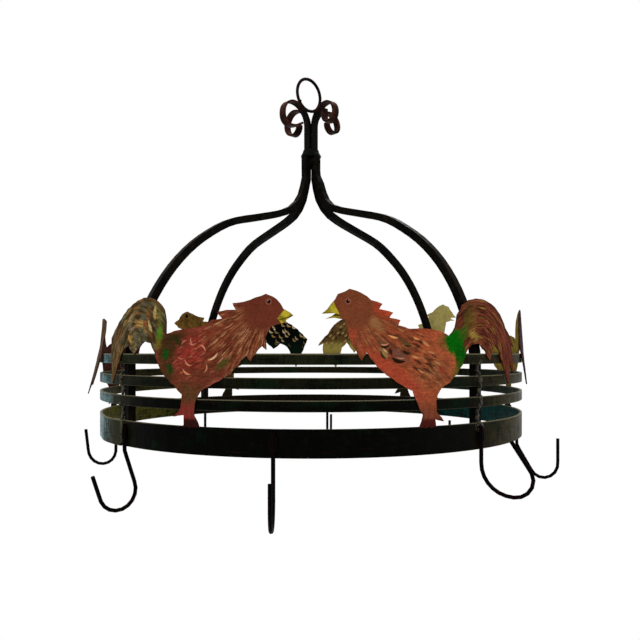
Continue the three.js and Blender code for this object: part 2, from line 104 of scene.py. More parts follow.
class Number:
    """A number that varies over a surface. Its operators add Math nodes."""

    def __init__(self, graph: "Graph", socket: bpy.types.NodeSocket) -> None:
        """Wraps a socket.

        Args:
            graph: the node tree that the socket belongs to.
            socket: an output socket that gives a number.
        """
        self.graph = graph
        self.socket = socket

    def _with(self, operation: str, *others: Summand) -> "Number":
        """This number and others through one Math node."""
        return self.graph.calculate(operation, self, *others)

    def __add__(self, other: Summand) -> "Number":
        """This plus another."""
        return self._with("ADD", other)

    def __radd__(self, other: Plain) -> "Number":
        """A plain number plus this."""
        return self._with("ADD", other)

    def __sub__(self, other: Summand) -> "Number":
        """This less another."""
        return self._with("SUBTRACT", other)

    def __rsub__(self, other: Plain) -> "Number":
        """A plain number less this."""
        return self.graph.calculate("SUBTRACT", other, self)

    def __mul__(self, other: Summand) -> "Number":
        """This times another."""
        return self._with("MULTIPLY", other)

    def __rmul__(self, other: Plain) -> "Number":
        """A plain number times this."""
        return self._with("MULTIPLY", other)

    def __truediv__(self, other: Summand) -> "Number":
        """This over another."""
        return self._with("DIVIDE", other)

    def __rtruediv__(self, other: Plain) -> "Number":
        """A plain number over this."""
        return self.graph.calculate("DIVIDE", other, self)

    def __neg__(self) -> "Number":
        """This with the other sign."""
        return self._with("MULTIPLY", -1)

    def __abs__(self) -> "Number":
        """This without its sign."""
        return self._with("ABSOLUTE")

    def least(self, other: Summand) -> "Number":
        """The lesser of this and another."""
        return self._with("MINIMUM", other)

    def most(self, other: Summand) -> "Number":
        """The greater of this and another."""
        return self._with("MAXIMUM", other)

    def root(self) -> "Number":
        """The square root of this."""
        return self._with("SQRT")

    def rise(self, start: Plain, end: Plain, full: Plain = 1.0) -> "Number":
        """A smooth step over this number.

        Args:
            start: where the step is still 0.
            end: where it is whole. Less than start for a step that falls.
            full: what it reaches there.

        Returns:
            A number from 0 to full.
        """
        low, high, first, last = (start, end, 0.0, full) if start < end else (end, start, full, 0.0)
        return self._carried({"interpolation_type": "SMOOTHSTEP"}, low, high, first, last)

    def scaled(self, start: Plain, end: Plain, first: Plain, last: Plain) -> "Number":
        """This number carried straight from one range to another, and held at its ends."""
        return self._carried({"clamp": True}, start, end, first, last)

    def _carried(
        self, settings: Mapping[str, object], start: Plain, end: Plain, first: Plain, last: Plain
    ) -> "Number":
        """This number carried from one range to another.

        Args:
            settings: how it is carried.
            start: where the old range starts.
            end: where it ends.
            first: where the new range starts.
            last: where it ends.

        Returns:
            The new number.
        """
        inputs = {"Value": self, "From Min": start, "From Max": end, "To Min": first, "To Max": last}
        return Number(self.graph, self.graph.node("ShaderNodeMapRange", settings, inputs).outputs["Result"])


class Colour:
    """A colour that varies over a surface."""

    def __init__(self, shader: "Shader", socket: Union[bpy.types.NodeSocket, Tint]) -> None:
        """Wraps a socket, or a paint that doesn't vary yet.

        Args:
            shader: the material that the socket belongs to.
            socket: an output socket that gives a colour, or the paint.
        """
        self.shader = shader
        self.socket = socket

    def over(self, share: Number, paint: Shade) -> "Colour":
        """This colour with a paint laid over it.

        Args:
            share: how much of the paint covers, 0 to 1.
            paint: the colour laid on.

        Returns:
            The mixed colour.
        """
        return self.shader.mix(share, self, paint)

    def shaded(self, factor: Number) -> "Colour":
        """This colour made lighter or darker by a factor."""
        node = self.shader.node("ShaderNodeVectorMath", {"operation": "SCALE"}, {0: self, "Scale": factor})
        return Colour(self.shader, node.outputs[0])

    def flecked(self, noise: Number, dark: Plain, light: Plain) -> "Colour":
        """This colour made darker and lighter by a noise, between two factors."""
        return self.shaded(noise.scaled(0.3, 0.7, dark, light))


Given = Union[Number, Colour, Tint, bpy.types.NodeSocket, int, float, Sequence[float]]


class Graph:
    """A node tree of a material or a world, with one method for any kind of node."""

    def __init__(self, tree: bpy.types.NodeTree) -> None:
        """Takes a tree over and empties it."""
        self.tree = tree
        self.tree.nodes.clear()

    def node(
        self,
        kind: str,
        settings: Optional[Mapping[str, object]] = None,
        inputs: Optional[Mapping[Union[str, int], Given]] = None,
    ) -> bpy.types.Node:
        """Adds a node.

        Args:
            kind: Blender's type name of the node.
            settings: its properties, set before its inputs.
            inputs: values or links for its input sockets, by name or number.

        Returns:
            The new node.
        """
        made = self.tree.nodes.new(kind)
        for name, value in (settings or {}).items():
            setattr(made, name, value)
        for key, given in (inputs or {}).items():
            socket = made.inputs[key]
            if isinstance(given, (Number, Colour)):
                given = given.socket
            if isinstance(given, bpy.types.NodeSocket):
                self.tree.links.new(given, socket)
            elif isinstance(given, Tint):
                colour = given.linear()
                socket.default_value = colour if len(socket.default_value) == 4 else colour[:3]
            else:
                socket.default_value = given
        return made

    def calculate(self, operation: str, *values: Summand) -> Number:
        """Runs numbers through a Math node.

        Args:
            operation: Blender's name of the sum.
            values: the numbers that go in.

        Returns:
            The result.
        """
        node = self.node("ShaderNodeMath", {"operation": operation}, dict(enumerate(values)))
        return Number(self, node.outputs[0])


class Shader(Graph):
    """A material under construction."""

    def __init__(self, name: str) -> None:
        """Starts an empty material.

        Args:
            name: the material's name.
        """
        self.material = bpy.data.materials.new(name)
        self.material.use_nodes = True
        super().__init__(self.material.node_tree)
        self.place = self.node("ShaderNodeTexCoord").outputs["Object"]
        self.x, self.y, self.z = self.split(self.place)
        self.facing = self.split(self.node("ShaderNodeNewGeometry").outputs["Normal"])

    def split(self, place: bpy.types.NodeSocket) -> tuple[Number, ...]:
        """The three numbers of a place or a direction."""
        node = self.node("ShaderNodeSeparateXYZ", inputs={0: place})
        return tuple(Number(self, output) for output in node.outputs)

    def mapped(
        self,
        at: bpy.types.NodeSocket,
        middle: tuple[float, float],
        size: tuple[float, float],
        turn: float = 0.0,
    ) -> bpy.types.NodeSocket:
        """Reads flat places from a middle, in a turned frame and in units of a size.

        Args:
            at: the places.
            middle: where the new place is 0, 0.
            size: how long its units are.
            turn: degrees from the first old axis to the first new one.

        Returns:
            The new place.
        """
        inputs = {
            "Vector": at,
            "Location": (*middle, 0.0),
            "Rotation": (0.0, 0.0, math.radians(turn)),
            "Scale": (*size, 1.0),
        }
        return self.node("ShaderNodeMapping", {"vector_type": "TEXTURE"}, inputs).outputs[0]

    def apart(self, at: bpy.types.NodeSocket, other: Sequence[float]) -> Number:
        """How far a place is from a fixed one."""
        node = self.node("ShaderNodeVectorMath", {"operation": "DISTANCE"}, {0: at, 1: other})
        return Number(self, node.outputs["Value"])

    def vector(self, x: Summand, y: Summand, z: Summand = 0.0) -> bpy.types.NodeSocket:
        """Three numbers as one place."""
        return self.node("ShaderNodeCombineXYZ", inputs={0: x, 1: y, 2: z}).outputs[0]

    def colour(self, tint: Tint) -> Colour:
        """A plain paint to lay others over."""
        return Colour(self, tint)

    def mix(self, share: Summand, below: Shade, above: Shade) -> Colour:
        """Lays one colour over another.

        Args:
            share: how much of the upper one covers, 0 to 1.
            below: the lower colour.
            above: the upper colour.

        Returns:
            The mixed colour.
        """
        node = self.node("ShaderNodeMix", {"data_type": "RGBA"}, {0: share, 6: below, 7: above})
        return Colour(self, node.outputs[2])

    def noise(
        self,
        scale: Plain,
        detail: Plain = 2.0,
        roughness: Plain = 0.5,
        at: Optional[bpy.types.NodeSocket] = None,
        warp: Plain = 0.0,
    ) -> Number:
        """Cloudy noise of about 0 to 1.

        Args:
            scale: how many clouds there are to a unit of length.
            detail: how many finer layers it has.
            roughness: how strong the finer layers are.
            at: where it is read. The place on the object, if left out.
            warp: how far the clouds are twisted.

        Returns:
            The noise.
        """
        node = self.node(
            "ShaderNodeTexNoise",
            {"noise_dimensions": "3D"},
            {
                "Vector": at if at is not None else self.place,
                "Scale": scale,
                "Detail": detail,
                "Roughness": roughness,
                "Distortion": warp,
            },
        )
        return Number(self, node.outputs[0])

    def dabs(self, at: bpy.types.NodeSocket, scatter: Plain) -> "Dabs":
        """Dabs scattered over a plane, about one to a unit of length.

        Args:
            at: where they are read.
            scatter: how unevenly they lie, 0 to 1.

        Returns:
            The dabs.
        """
        inputs = {"Vector": at, "Scale": 1.0, "Randomness": scatter}
        cells = self.node("ShaderNodeTexVoronoi", {"voronoi_dimensions": "2D"}, inputs).outputs
        chance = self.node("ShaderNodeSeparateColor", inputs={0: cells["Color"]}).outputs
        offset = self.node("ShaderNodeVectorMath", {"operation": "SUBTRACT"}, {0: at, 1: cells["Position"]})
        across, along, _ = self.split(offset.outputs[0])
        return Dabs(Number(self, chance[0]), Number(self, chance[1]), across, along)

    def finish(
        self,
        colour: Shade,
        roughness: Summand,
        shine: Plain,
        relief: Optional[Number] = None,
        depth: Plain = 0.0004,
    ) -> bpy.types.Material:
        """Closes the material with one surface shader.

        Args:
            colour: the base colour.
            roughness: how dull the surface is.
            shine: the specular level.
            relief: height that varies over the surface.
            depth: metres that one unit of relief stands out.

        Returns:
            The finished material.
        """
        inputs = {"Base Color": colour, "Roughness": roughness, "Specular IOR Level": shine}
        if relief is not None:
            bump = self.node("ShaderNodeBump", inputs={"Height": relief, "Distance": depth, "Strength": 1.0})
            inputs["Normal"] = bump.outputs[0]
        surface = self.node("ShaderNodeBsdfPrincipled", inputs=inputs)
        self.node("ShaderNodeOutputMaterial", inputs={"Surface": surface.outputs[0]})
        return self.material


@dataclass(frozen=True)
class Dabs:
    """Scattered dabs of paint: what a material knows at a place about the nearest one."""

    chance: Number
    other_chance: Number
    across: Number
    along: Number

    def lens(self, width: float, length: float, bend: float = 0.0) -> Number:
        """How far out a place lies in its leaf-shaped dab.

        Args:
            width: half the leaf's width.
            length: half its length.
            bend: how far its ends curl to one side.

        Returns:
            0 on the leaf's spine, 1 on its rim and more beyond.
        """
        reach = self.along * self.along
        return abs(self.across + reach * bend) / width + reach / length ** 2


# ---------------------------------------------------------------- where the rack is


@dataclass(frozen=True)
class RackPlace:
    """Where the rack's upright axis and its top edge lie in the row frame, in metres."""

    x: float
    y: float
    top: float
    radius: float

    @classmethod
    def measured(cls) -> "RackPlace":
        """Reads the place off the hoops.

        Returns:
            The place of the rack.
        """
        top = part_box("top_hoop")[1].z
        low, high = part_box("third_hoop")
        centre = (low + high) / 2
        return cls(centre.x, centre.y, top, (high.y - low.y) / 2)


class Round:
    """Cylindrical coordinates of a material's surface round the rack's axis."""

    def __init__(self, shader: Shader, place: RackPlace, azimuth: float = 0.0) -> None:
        """Adds the nodes that measure them.

        Args:
            shader: the material.
            place: where the rack is.
            azimuth: where the angle is counted from.
        """
        turn = math.radians(azimuth)
        east, north = shader.x - place.x, shader.y - place.y
        along = east * math.cos(turn) + north * math.sin(turn)
        outward = east * math.sin(turn) - north * math.cos(turn)
        self.angle = shader.calculate("ARCTAN2", along, outward)
        self.radius = (east * east + north * north).root()
        self.height = (shader.z - place.top) / MILLIMETRE
        facing_x, facing_y, _ = shader.facing
        self.outwards = (facing_x * east + facing_y * north) / self.radius
        self.front = -north / self.radius
        self.side = east / self.radius


# ---------------------------------------------------------------- iron finishes


@dataclass(frozen=True)
class SideTint:
    """A tint that comes in towards one side of the rack, between two shares of its radius."""

    start: float
    end: float
    tint: Tint

    def cover(self, around: Round) -> Number:
        """How much it covers."""
        return around.side.rise(self.start, self.end)


@dataclass(frozen=True)
class HoopPaint:
    """Old dark enamel on flat strip, with painted reflections at the sides and painted highlights.

    Black in front, with olive and blue-grey painted reflections towards the sides, and worn edges
    that also carry painted highlights. Heights are millimetres over the top hoop's upper edge, and
    the lines of wear and painted highlight are millimetres wide.
    """

    front: Tint = Tint(1, 2, 1)
    front_high: Tint = Tint(24, 25, 13)
    # Painted reflections towards the sides: olive on the right, olive then blue-grey on the left
    left: SideTint = SideTint(-0.66, -0.86, Tint(38, 40, 18))
    far_left: SideTint = SideTint(-0.79, -0.87, Tint(74, 108, 110))
    sheen_left: SideTint = SideTint(-0.85, -0.91, Tint(118, 156, 164))
    right: SideTint = SideTint(0.56, 0.84, Tint(46, 40, 18))
    far_right: SideTint = SideTint(0.86, 0.97, Tint(56, 48, 24))
    inner: Tint = Tint(14, 10, 5)
    inner_left: SideTint = SideTint(-0.68, -0.93, Tint(66, 64, 18))
    inner_right: SideTint = SideTint(0.55, 0.8, Tint(2, 40, 36))
    inner_high: Tint = Tint(26, 24, 12)
    green: Tint = Tint(4, 26, 10)
    wine: Tint = Tint(34, 14, 14)
    soot: Tint = Tint(6, 7, 4)
    # Worn bare metal, also laid as painted highlights along the top edges
    worn_and_highlit: Tint = Tint(126, 118, 90)
    plain_front: float = -60
    top_line: float = -5
    wide_line: float = 1.4
    narrow_line: float = 0.8

    def material(self, name: str, place: RackPlace, top: float, bottom: float) -> bpy.types.Material:
        """Mixes the finish.

        Args:
            name: the material's name.
            place: where the rack is.
            top: height of the strip's upper edge over the top hoop's, in millimetres.
            bottom: height of its lower edge.

        Returns:
            The material.
        """
        shader = Shader(name)
        around = Round(shader, place)
        streaks = shader.vector(around.angle * 9, around.height * 0.35, around.radius * 40)
        strokes = shader.vector(around.angle * 60, around.height * 0.06, around.radius * 40)
        clouds = shader.noise(20, 3, 0.6)
        smudges = shader.noise(70, 4, 0.7)
        grain = shader.noise(1.4, 4, 0.6, at=streaks)
        brushed = shader.noise(1.2, 3, 0.6, at=strokes)
        outer, inner = self._outer(shader, around, brushed), self._inner(shader, around)
        colour = outer.over(around.outwards.rise(0.2, -0.2), inner)
        colour = colour.over(clouds.rise(0.54, 0.66) * 0.5, self.green)
        colour = colour.over(grain.rise(0.58, 0.72) * 0.55, self.wine)
        colour = colour.over((grain * 0.5 + smudges * 0.5).rise(0.52, 0.4, 0.85), self.soot)
        colour = colour.flecked(brushed, 0.55, 1.5)

        # Worn bare metal, with painted highlights in the same tint, along the edges of the faces,
        # on the level edges and at the strips' ends
        wear_and_highlight_noise = shader.noise(24, 4, 0.7, at=streaks)
        line = self.wide_line if top > self.top_line else self.narrow_line
        rims = (around.height - (top - line)).rise(0.0, 0.3)
        rims = rims.most((bottom + 0.5 - around.height).rise(0.0, 0.4, 0.5))
        if top < self.plain_front:
            rims = rims * abs(around.side).rise(0.45, 0.75)
        colour = colour.over(rims * wear_and_highlight_noise.rise(0.4, 0.56, 0.8), self.worn_and_highlit)
        brink = (around.radius - place.radius).rise(-0.0014, -0.0008) + around.height.rise(-20, -10, 0.4)
        upward = abs(shader.facing[2])
        level = upward.rise(0.3, 0.8) * brink.least(1)
        colour = colour.over(level * wear_and_highlight_noise.rise(0.36, 0.56, 0.7), self.worn_and_highlit)
        ends = (1 - abs(around.outwards) - upward).rise(0.5, 0.9)
        colour = colour.over(ends * smudges.rise(0.45, 0.6, 0.7), self.worn_and_highlit)

        relief = shader.noise(180, 3, 0.6) + brushed * 0.6
        return shader.finish(colour, clouds.scaled(0.3, 0.7, 0.3, 0.5), 0.015, relief, 0.00025)

    def _outer(self, shader: Shader, around: Round, brushed: Number) -> Colour:
        """Tints the outer faces, with painted reflections towards the sides.

        Args:
            shader: the material.
            around: the places round the axis.
            brushed: upright brush marks.

        Returns:
            The colour.
        """
        # Painted reflections at the sides; the blue-grey ones broken by brush marks and kept to the front
        ahead = around.front.rise(0.1, 0.3)
        far_left = self.far_left.cover(around) * brushed.rise(0.34, 0.56) * ahead
        sheen = self.sheen_left.cover(around) * brushed.rise(0.4, 0.56, 0.85) * ahead
        colour = shader.mix(around.height.rise(-52, -4), self.front, self.front_high)
        colour = colour.over(self.left.cover(around), self.left.tint)
        colour = colour.over(far_left, self.far_left.tint).over(sheen, self.sheen_left.tint)
        for side in (self.right, self.far_right):
            colour = colour.over(side.cover(around), side.tint)
        return colour

    def _inner(self, shader: Shader, around: Round) -> Colour:
        """Tints the inner faces.

        Args:
            shader: the material.
            around: the places round the axis.

        Returns:
            The colour.
        """
        colour = shader.colour(self.inner)
        for side in (self.inner_left, self.inner_right):
            colour = colour.over(side.cover(around), side.tint)
        return colour.over(around.height.rise(-60, -44, 0.85), self.inner_high)


@dataclass(frozen=True)
class IronFinish:
    """Dark forged iron with rusty tints, painted highlights on its upward faces and hammered relief.

    The stem is what lies close to the rack's axis, where that has a tint of its own. Its reach
    and the relief's are metres.
    """

    dark: Tint
    light: Tint
    rust_and_highlight: Tint
    rust_share: float
    shine: float
    roughness: float = 0.42
    relief: float = 0.0004
    stem: Optional[Tint] = None
    stem_inside: float = 0.012
    stem_outside: float = 0.019

    def material(self, name: str, rack: RackPlace) -> bpy.types.Material:
        """Mixes the finish.

        Args:
            name: the material's name.
            rack: where the rack is.

        Returns:
            The material.
        """
        shader = Shader(name)
        clouds = shader.noise(55, 4, 0.6)
        spots = shader.noise(160, 3, 0.6)
        colour = shader.mix(clouds.rise(0.4, 0.62), self.dark, self.light)
        colour = colour.over(spots.rise(0.5, 0.7) * self.rust_share, self.rust_and_highlight)
        # Upward faces take more of the rusty tint, partly as corrosion and partly as a painted highlight
        upward = shader.facing[2].rise(0.1, 0.9)
        colour = colour.over(upward * clouds.rise(0.3, 0.6) * 0.6, self.rust_and_highlight)
        if self.stem is not None:
            near = Round(shader, rack).radius.rise(self.stem_outside, self.stem_inside)
            colour = colour.over(near * spots.rise(0.8, 0.6), self.stem)
        roughness = spots.scaled(0.3, 0.7, self.roughness - 0.08, self.roughness + 0.12)
        relief = shader.noise(240, 3, 0.6) + shader.noise(70, 1, 0.5) * 1.5
        return shader.finish(colour, roughness, self.shine, relief, self.relief)


# ---------------------------------------------------------------- rooster paint


# Where a patch's cover ends if it is soft, and starts to fade if it is firm, in its own sizes
SOFT_END = 1.3
FIRM_START = 0.85

# Middles on the flat sheet, along the hoops and over the top hoop's edge, in millimetres
HEAD = (80.0, 46.0)
TAIL = (-68.0, -6.0)
THIGH = (10.0, -40.0)
INNER_EYE = (78.0, 45.0)

# Heights between which a longer leg is stretched
SHANK_LOW = -62
SHANK_HIGH = -34

# How unevenly dabs lie, and half a dab's length in cells
DAB_SCATTER = 0.9
DAB_REACH = 0.62

LIPS = Tint(34, 26, 12)
IRIS = Tint(84, 22, 18)
PUPIL = Tint(12, 8, 8)
GLINT = Tint(190, 170, 160)


class Beak(Enum):
    """How a rooster holds its beak."""

    CLOSED = "closed"
    OPEN = "open"


class Facing(Enum):
    """Which way a rooster looks from outside: right is towards growing azimuths."""

    RIGHT = 1
    LEFT = -1


@dataclass(frozen=True)
class SheetPlace:
    """Where a rooster sits: the same numbers as in the solid model, degrees and millimetres."""

    azimuth: float
    facing: Facing
    tilt: float = 0.0
    rise: float = 0.0
    foot: float = -66.0


@dataclass(frozen=True)
class Oval:
    """A turned oval on the flat sheet, in millimetres and degrees."""

    run: float
    height: float
    length: float
    width: float
    turn: float


@dataclass(frozen=True)
class Patch(Oval):
    """A soft-edged oval of paint."""

    tint: Tint
    strength: float = 1.0
    hard: float = 0.0


@dataclass(frozen=True)
class Stroke:
    """A curved stroke of a thin brush: part of a circle, in millimetres and degrees."""

    run: float
    height: float
    radius: float
    start: float
    end: float
    width: float
    tint: Tint
    strength: float = 0.9


@dataclass(frozen=True)
class Leaves:
    """A layer of leaf-shaped dabs laid in one direction.

    Width and length are those of one dab's cell, in millimetres. The share is how many cells hold
    a dab, slim its half width in cells, bend how far its ends curl, and rim how dark its edge is.
    """

    width: float
    length: float
    tints: Sequence[Tint]
    strength: float = 0.9
    share: float = 1.0
    slim: float = 0.42
    bend: float = 0.0
    rim: float = 0.55
    seed: float = 0.0


@dataclass(frozen=True)
class Plumage:
    """How one kind of rooster is painted on the flat sheet: patches go under the dabs, blots over them."""

    beak: Beak
    eye: tuple[float, float]
    body: Tint
    shade: Tint
    wing: Oval
    wing_leaves: Sequence[Leaves]
    patches: Sequence[Patch]
    blots: Sequence[Patch]
    strokes: Sequence[Stroke]
    head: Tint
    hackle: Tint
    hackle_leaves: Sequence[Leaves]
    tail: Tint
    tail_leaves: Sequence[Leaves]
    tail_patches: Sequence[Patch]
    tail_rim: Tint
    edge: Tint
    leg: Tint
    foot: Tint
    eye_rim: Tint
    yellow: Tint = Tint(178, 162, 44)
    yellow_dark: Tint = Tint(112, 96, 26)


class Canvas:
    """The flat coordinates of a rooster's sheet, unrolled from the hoops, and its brushes."""

    def __init__(self, shader: Shader, rack: RackPlace, sheet: SheetPlace) -> None:
        """Adds the nodes that unroll the sheet.

        Args:
            shader: the material.
            rack: where the rack is.
            sheet: where the rooster sits on it.
        """
        self.shader = shader
        around = Round(shader, rack, sheet.azimuth)
        self.outwards = around.outwards
        run = around.angle * (rack.radius / MILLIMETRE * sheet.facing.value)
        over = around.height - sheet.foot
        tilt = math.radians(sheet.tilt)
        self.run = run * math.cos(tilt) + over * math.sin(tilt)
        self.height = over * math.cos(tilt) - run * math.sin(tilt) + sheet.foot
        if sheet.rise:
            # The rooster stands on longer legs: what lies over them is read that much lower
            self.height = self.height - self.height.rise(SHANK_LOW, SHANK_HIGH + sheet.rise, sheet.rise)
        self.at = shader.vector(self.run, self.height)
        ragged = shader.noise(0.16, 4, 0.65, at=self.at)
        self.ragged = ragged.scaled(0.25, 0.75, -0.35, 0.35)
        self.painted: dict[Patch, Number] = {}

    def distance(self, run: float, height: float) -> Number:
        """How far a place is from a point of the sheet."""
        return self.shader.apart(self.at, (run, height, 0.0))

    def bearing(self, run: float, height: float) -> Number:
        """The direction of a place from a point of the sheet, in radians."""
        return self.shader.calculate("ARCTAN2", self.height - height, self.run - run)

    def patch(self, patch: Patch) -> Number:
        """How much a patch covers.

        Args:
            patch: the patch.

        Returns:
            Its cover, 0 to 1.
        """
        if patch not in self.painted:
            self.painted[patch] = self.oval(patch, patch.strength, patch.hard)
        return self.painted[patch]

    def oval(self, oval: Oval, strength: float = 1.0, hard: float = 0.0) -> Number:
        """How much an oval with ragged edges covers.

        Args:
            oval: the oval.
            strength: how much it covers at its middle.
            hard: 1 for a firm edge, 0 for one that fades from the middle.

        Returns:
            Its cover, 0 to its strength.
        """
        place = self.shader.mapped(self.at, (oval.run, oval.height), (oval.length, oval.width), oval.turn)
        reach = self.shader.apart(place, (0.0, 0.0, 0.0)) + self.ragged
        return reach.rise(SOFT_END - (SOFT_END - 1) * hard, FIRM_START * hard, strength)

    def stroke(self, stroke: Stroke) -> Number:
        """How much a stroke covers.

        Args:
            stroke: the stroke.

        Returns:
            Its cover, 0 to 1.
        """
        middle = math.radians((stroke.start + stroke.end) / 2)
        half = math.radians(abs(stroke.end - stroke.start) / 2)
        top = (
            stroke.run + stroke.radius * math.cos(middle),
            stroke.height + stroke.radius * math.sin(middle),
        )
        size = (stroke.radius * math.sin(half), stroke.width)
        bow = stroke.radius * (1 - math.cos(half)) / stroke.width
        place = self.shader.mapped(self.at, top, size, math.degrees(middle) - 90)
        along, across, _ = self.shader.split(place)
        reach = along * along
        return (abs(across + reach * bow) + reach).rise(1.1, 0.6, stroke.strength)

    def leaves(
        self, colour: Colour, across: Number, along: Number, layer: Leaves, where: Summand = 1.0
    ) -> Colour:
        """Lays a layer of leaf-shaped dabs over a colour.

        Args:
            colour: what is under them.
            across: the distance across the dabs, in millimetres.
            along: the distance along them.
            layer: the dabs.
            where: how much of them the place takes.

        Returns:
            The colour with the dabs on it.
        """
        shader = self.shader
        start = (-layer.seed * 31.7, -layer.seed * 17.3)
        at = shader.mapped(shader.vector(across, along), start, (layer.width, layer.length))
        dabs = shader.dabs(at, DAB_SCATTER)
        lens = dabs.lens(layer.slim, DAB_REACH, layer.bend)
        paint = shader.colour(layer.tints[0])
        for step, tint in enumerate(layer.tints[1:], 1):
            share = step / len(layer.tints)
            paint = paint.over(dabs.chance.rise(share - 0.02, share + 0.02), tint)
        cover = lens.rise(1.04, 0.86, layer.strength) * where
        if layer.share < 1:
            cover = cover * dabs.other_chance.rise(layer.share + 0.02, layer.share - 0.02)
        if layer.rim:
            paint = paint.shaded(lens.scaled(0.3, 1.0, 1.12, 1 - layer.rim))
        return colour.over(cover, paint)

    def bristles(self, across: Number, along: Number, fine: float, coarse: float, seed: float) -> Number:
        """Brush marks that run along a direction.

        Args:
            across: the distance across the marks.
            along: the distance along them.
            fine: marks to a unit across.
            coarse: marks to a unit along.
            seed: sets one such noise apart from another.

        Returns:
            Noise of about 0 to 1.
        """
        at = self.shader.vector(across * fine, along * coarse, seed)
        return self.shader.noise(1.0, 2.5, 0.55, at=at, warp=0.4)


@dataclass(frozen=True)
class InnerPaint:
    """The plainer paint of a rooster's inner face."""

    ground: Tint
    shadow: Tint
    fleck: Tint
    fleck_share: float = 0.3
    tail: Optional[Tint] = None
    tail_curls: Sequence[Leaves] = ()
    tail_low: Optional[Tint] = None
    eye: Optional[Tint] = None
    leg: Tint = Tint(28, 24, 14)

    def coloured(self, canvas: Canvas) -> Colour:
        """Mixes the inner face's colour.

        Args:
            canvas: the sheet.

        Returns:
            The colour.
        """
        shader, run, height = canvas.shader, canvas.run, canvas.height
        clouds = canvas.bristles(run, height, 0.12, 0.12, 31.0)
        curls = canvas.bristles(run + height * 0.5, height, 0.3, 0.35, 37.0)
        colour = shader.mix(clouds.rise(0.35, 0.65), self.ground, self.shadow)
        colour = colour.over(curls.rise(0.55, 0.66) * self.fleck_share, self.fleck)
        if self.tail is not None:
            plume = shader.colour(self.tail).flecked(clouds, 0.8, 1.2)
            for layer in self.tail_curls:
                plume = canvas.leaves(plume, run * 0.6 - height * 0.8, run * 0.8 + height * 0.6, layer)
            if self.tail_low is not None:
                plume = plume.over((height + clouds * 20).rise(26, 12), self.tail_low)
            colour = colour.over(run.rise(-38, -48), plume)
        colour = colour.over(height.rise(-38, -46), self.leg)
        if self.eye is not None:
            colour = colour.over(canvas.distance(*INNER_EYE).rise(3.2, 2.2), self.eye)
        return colour


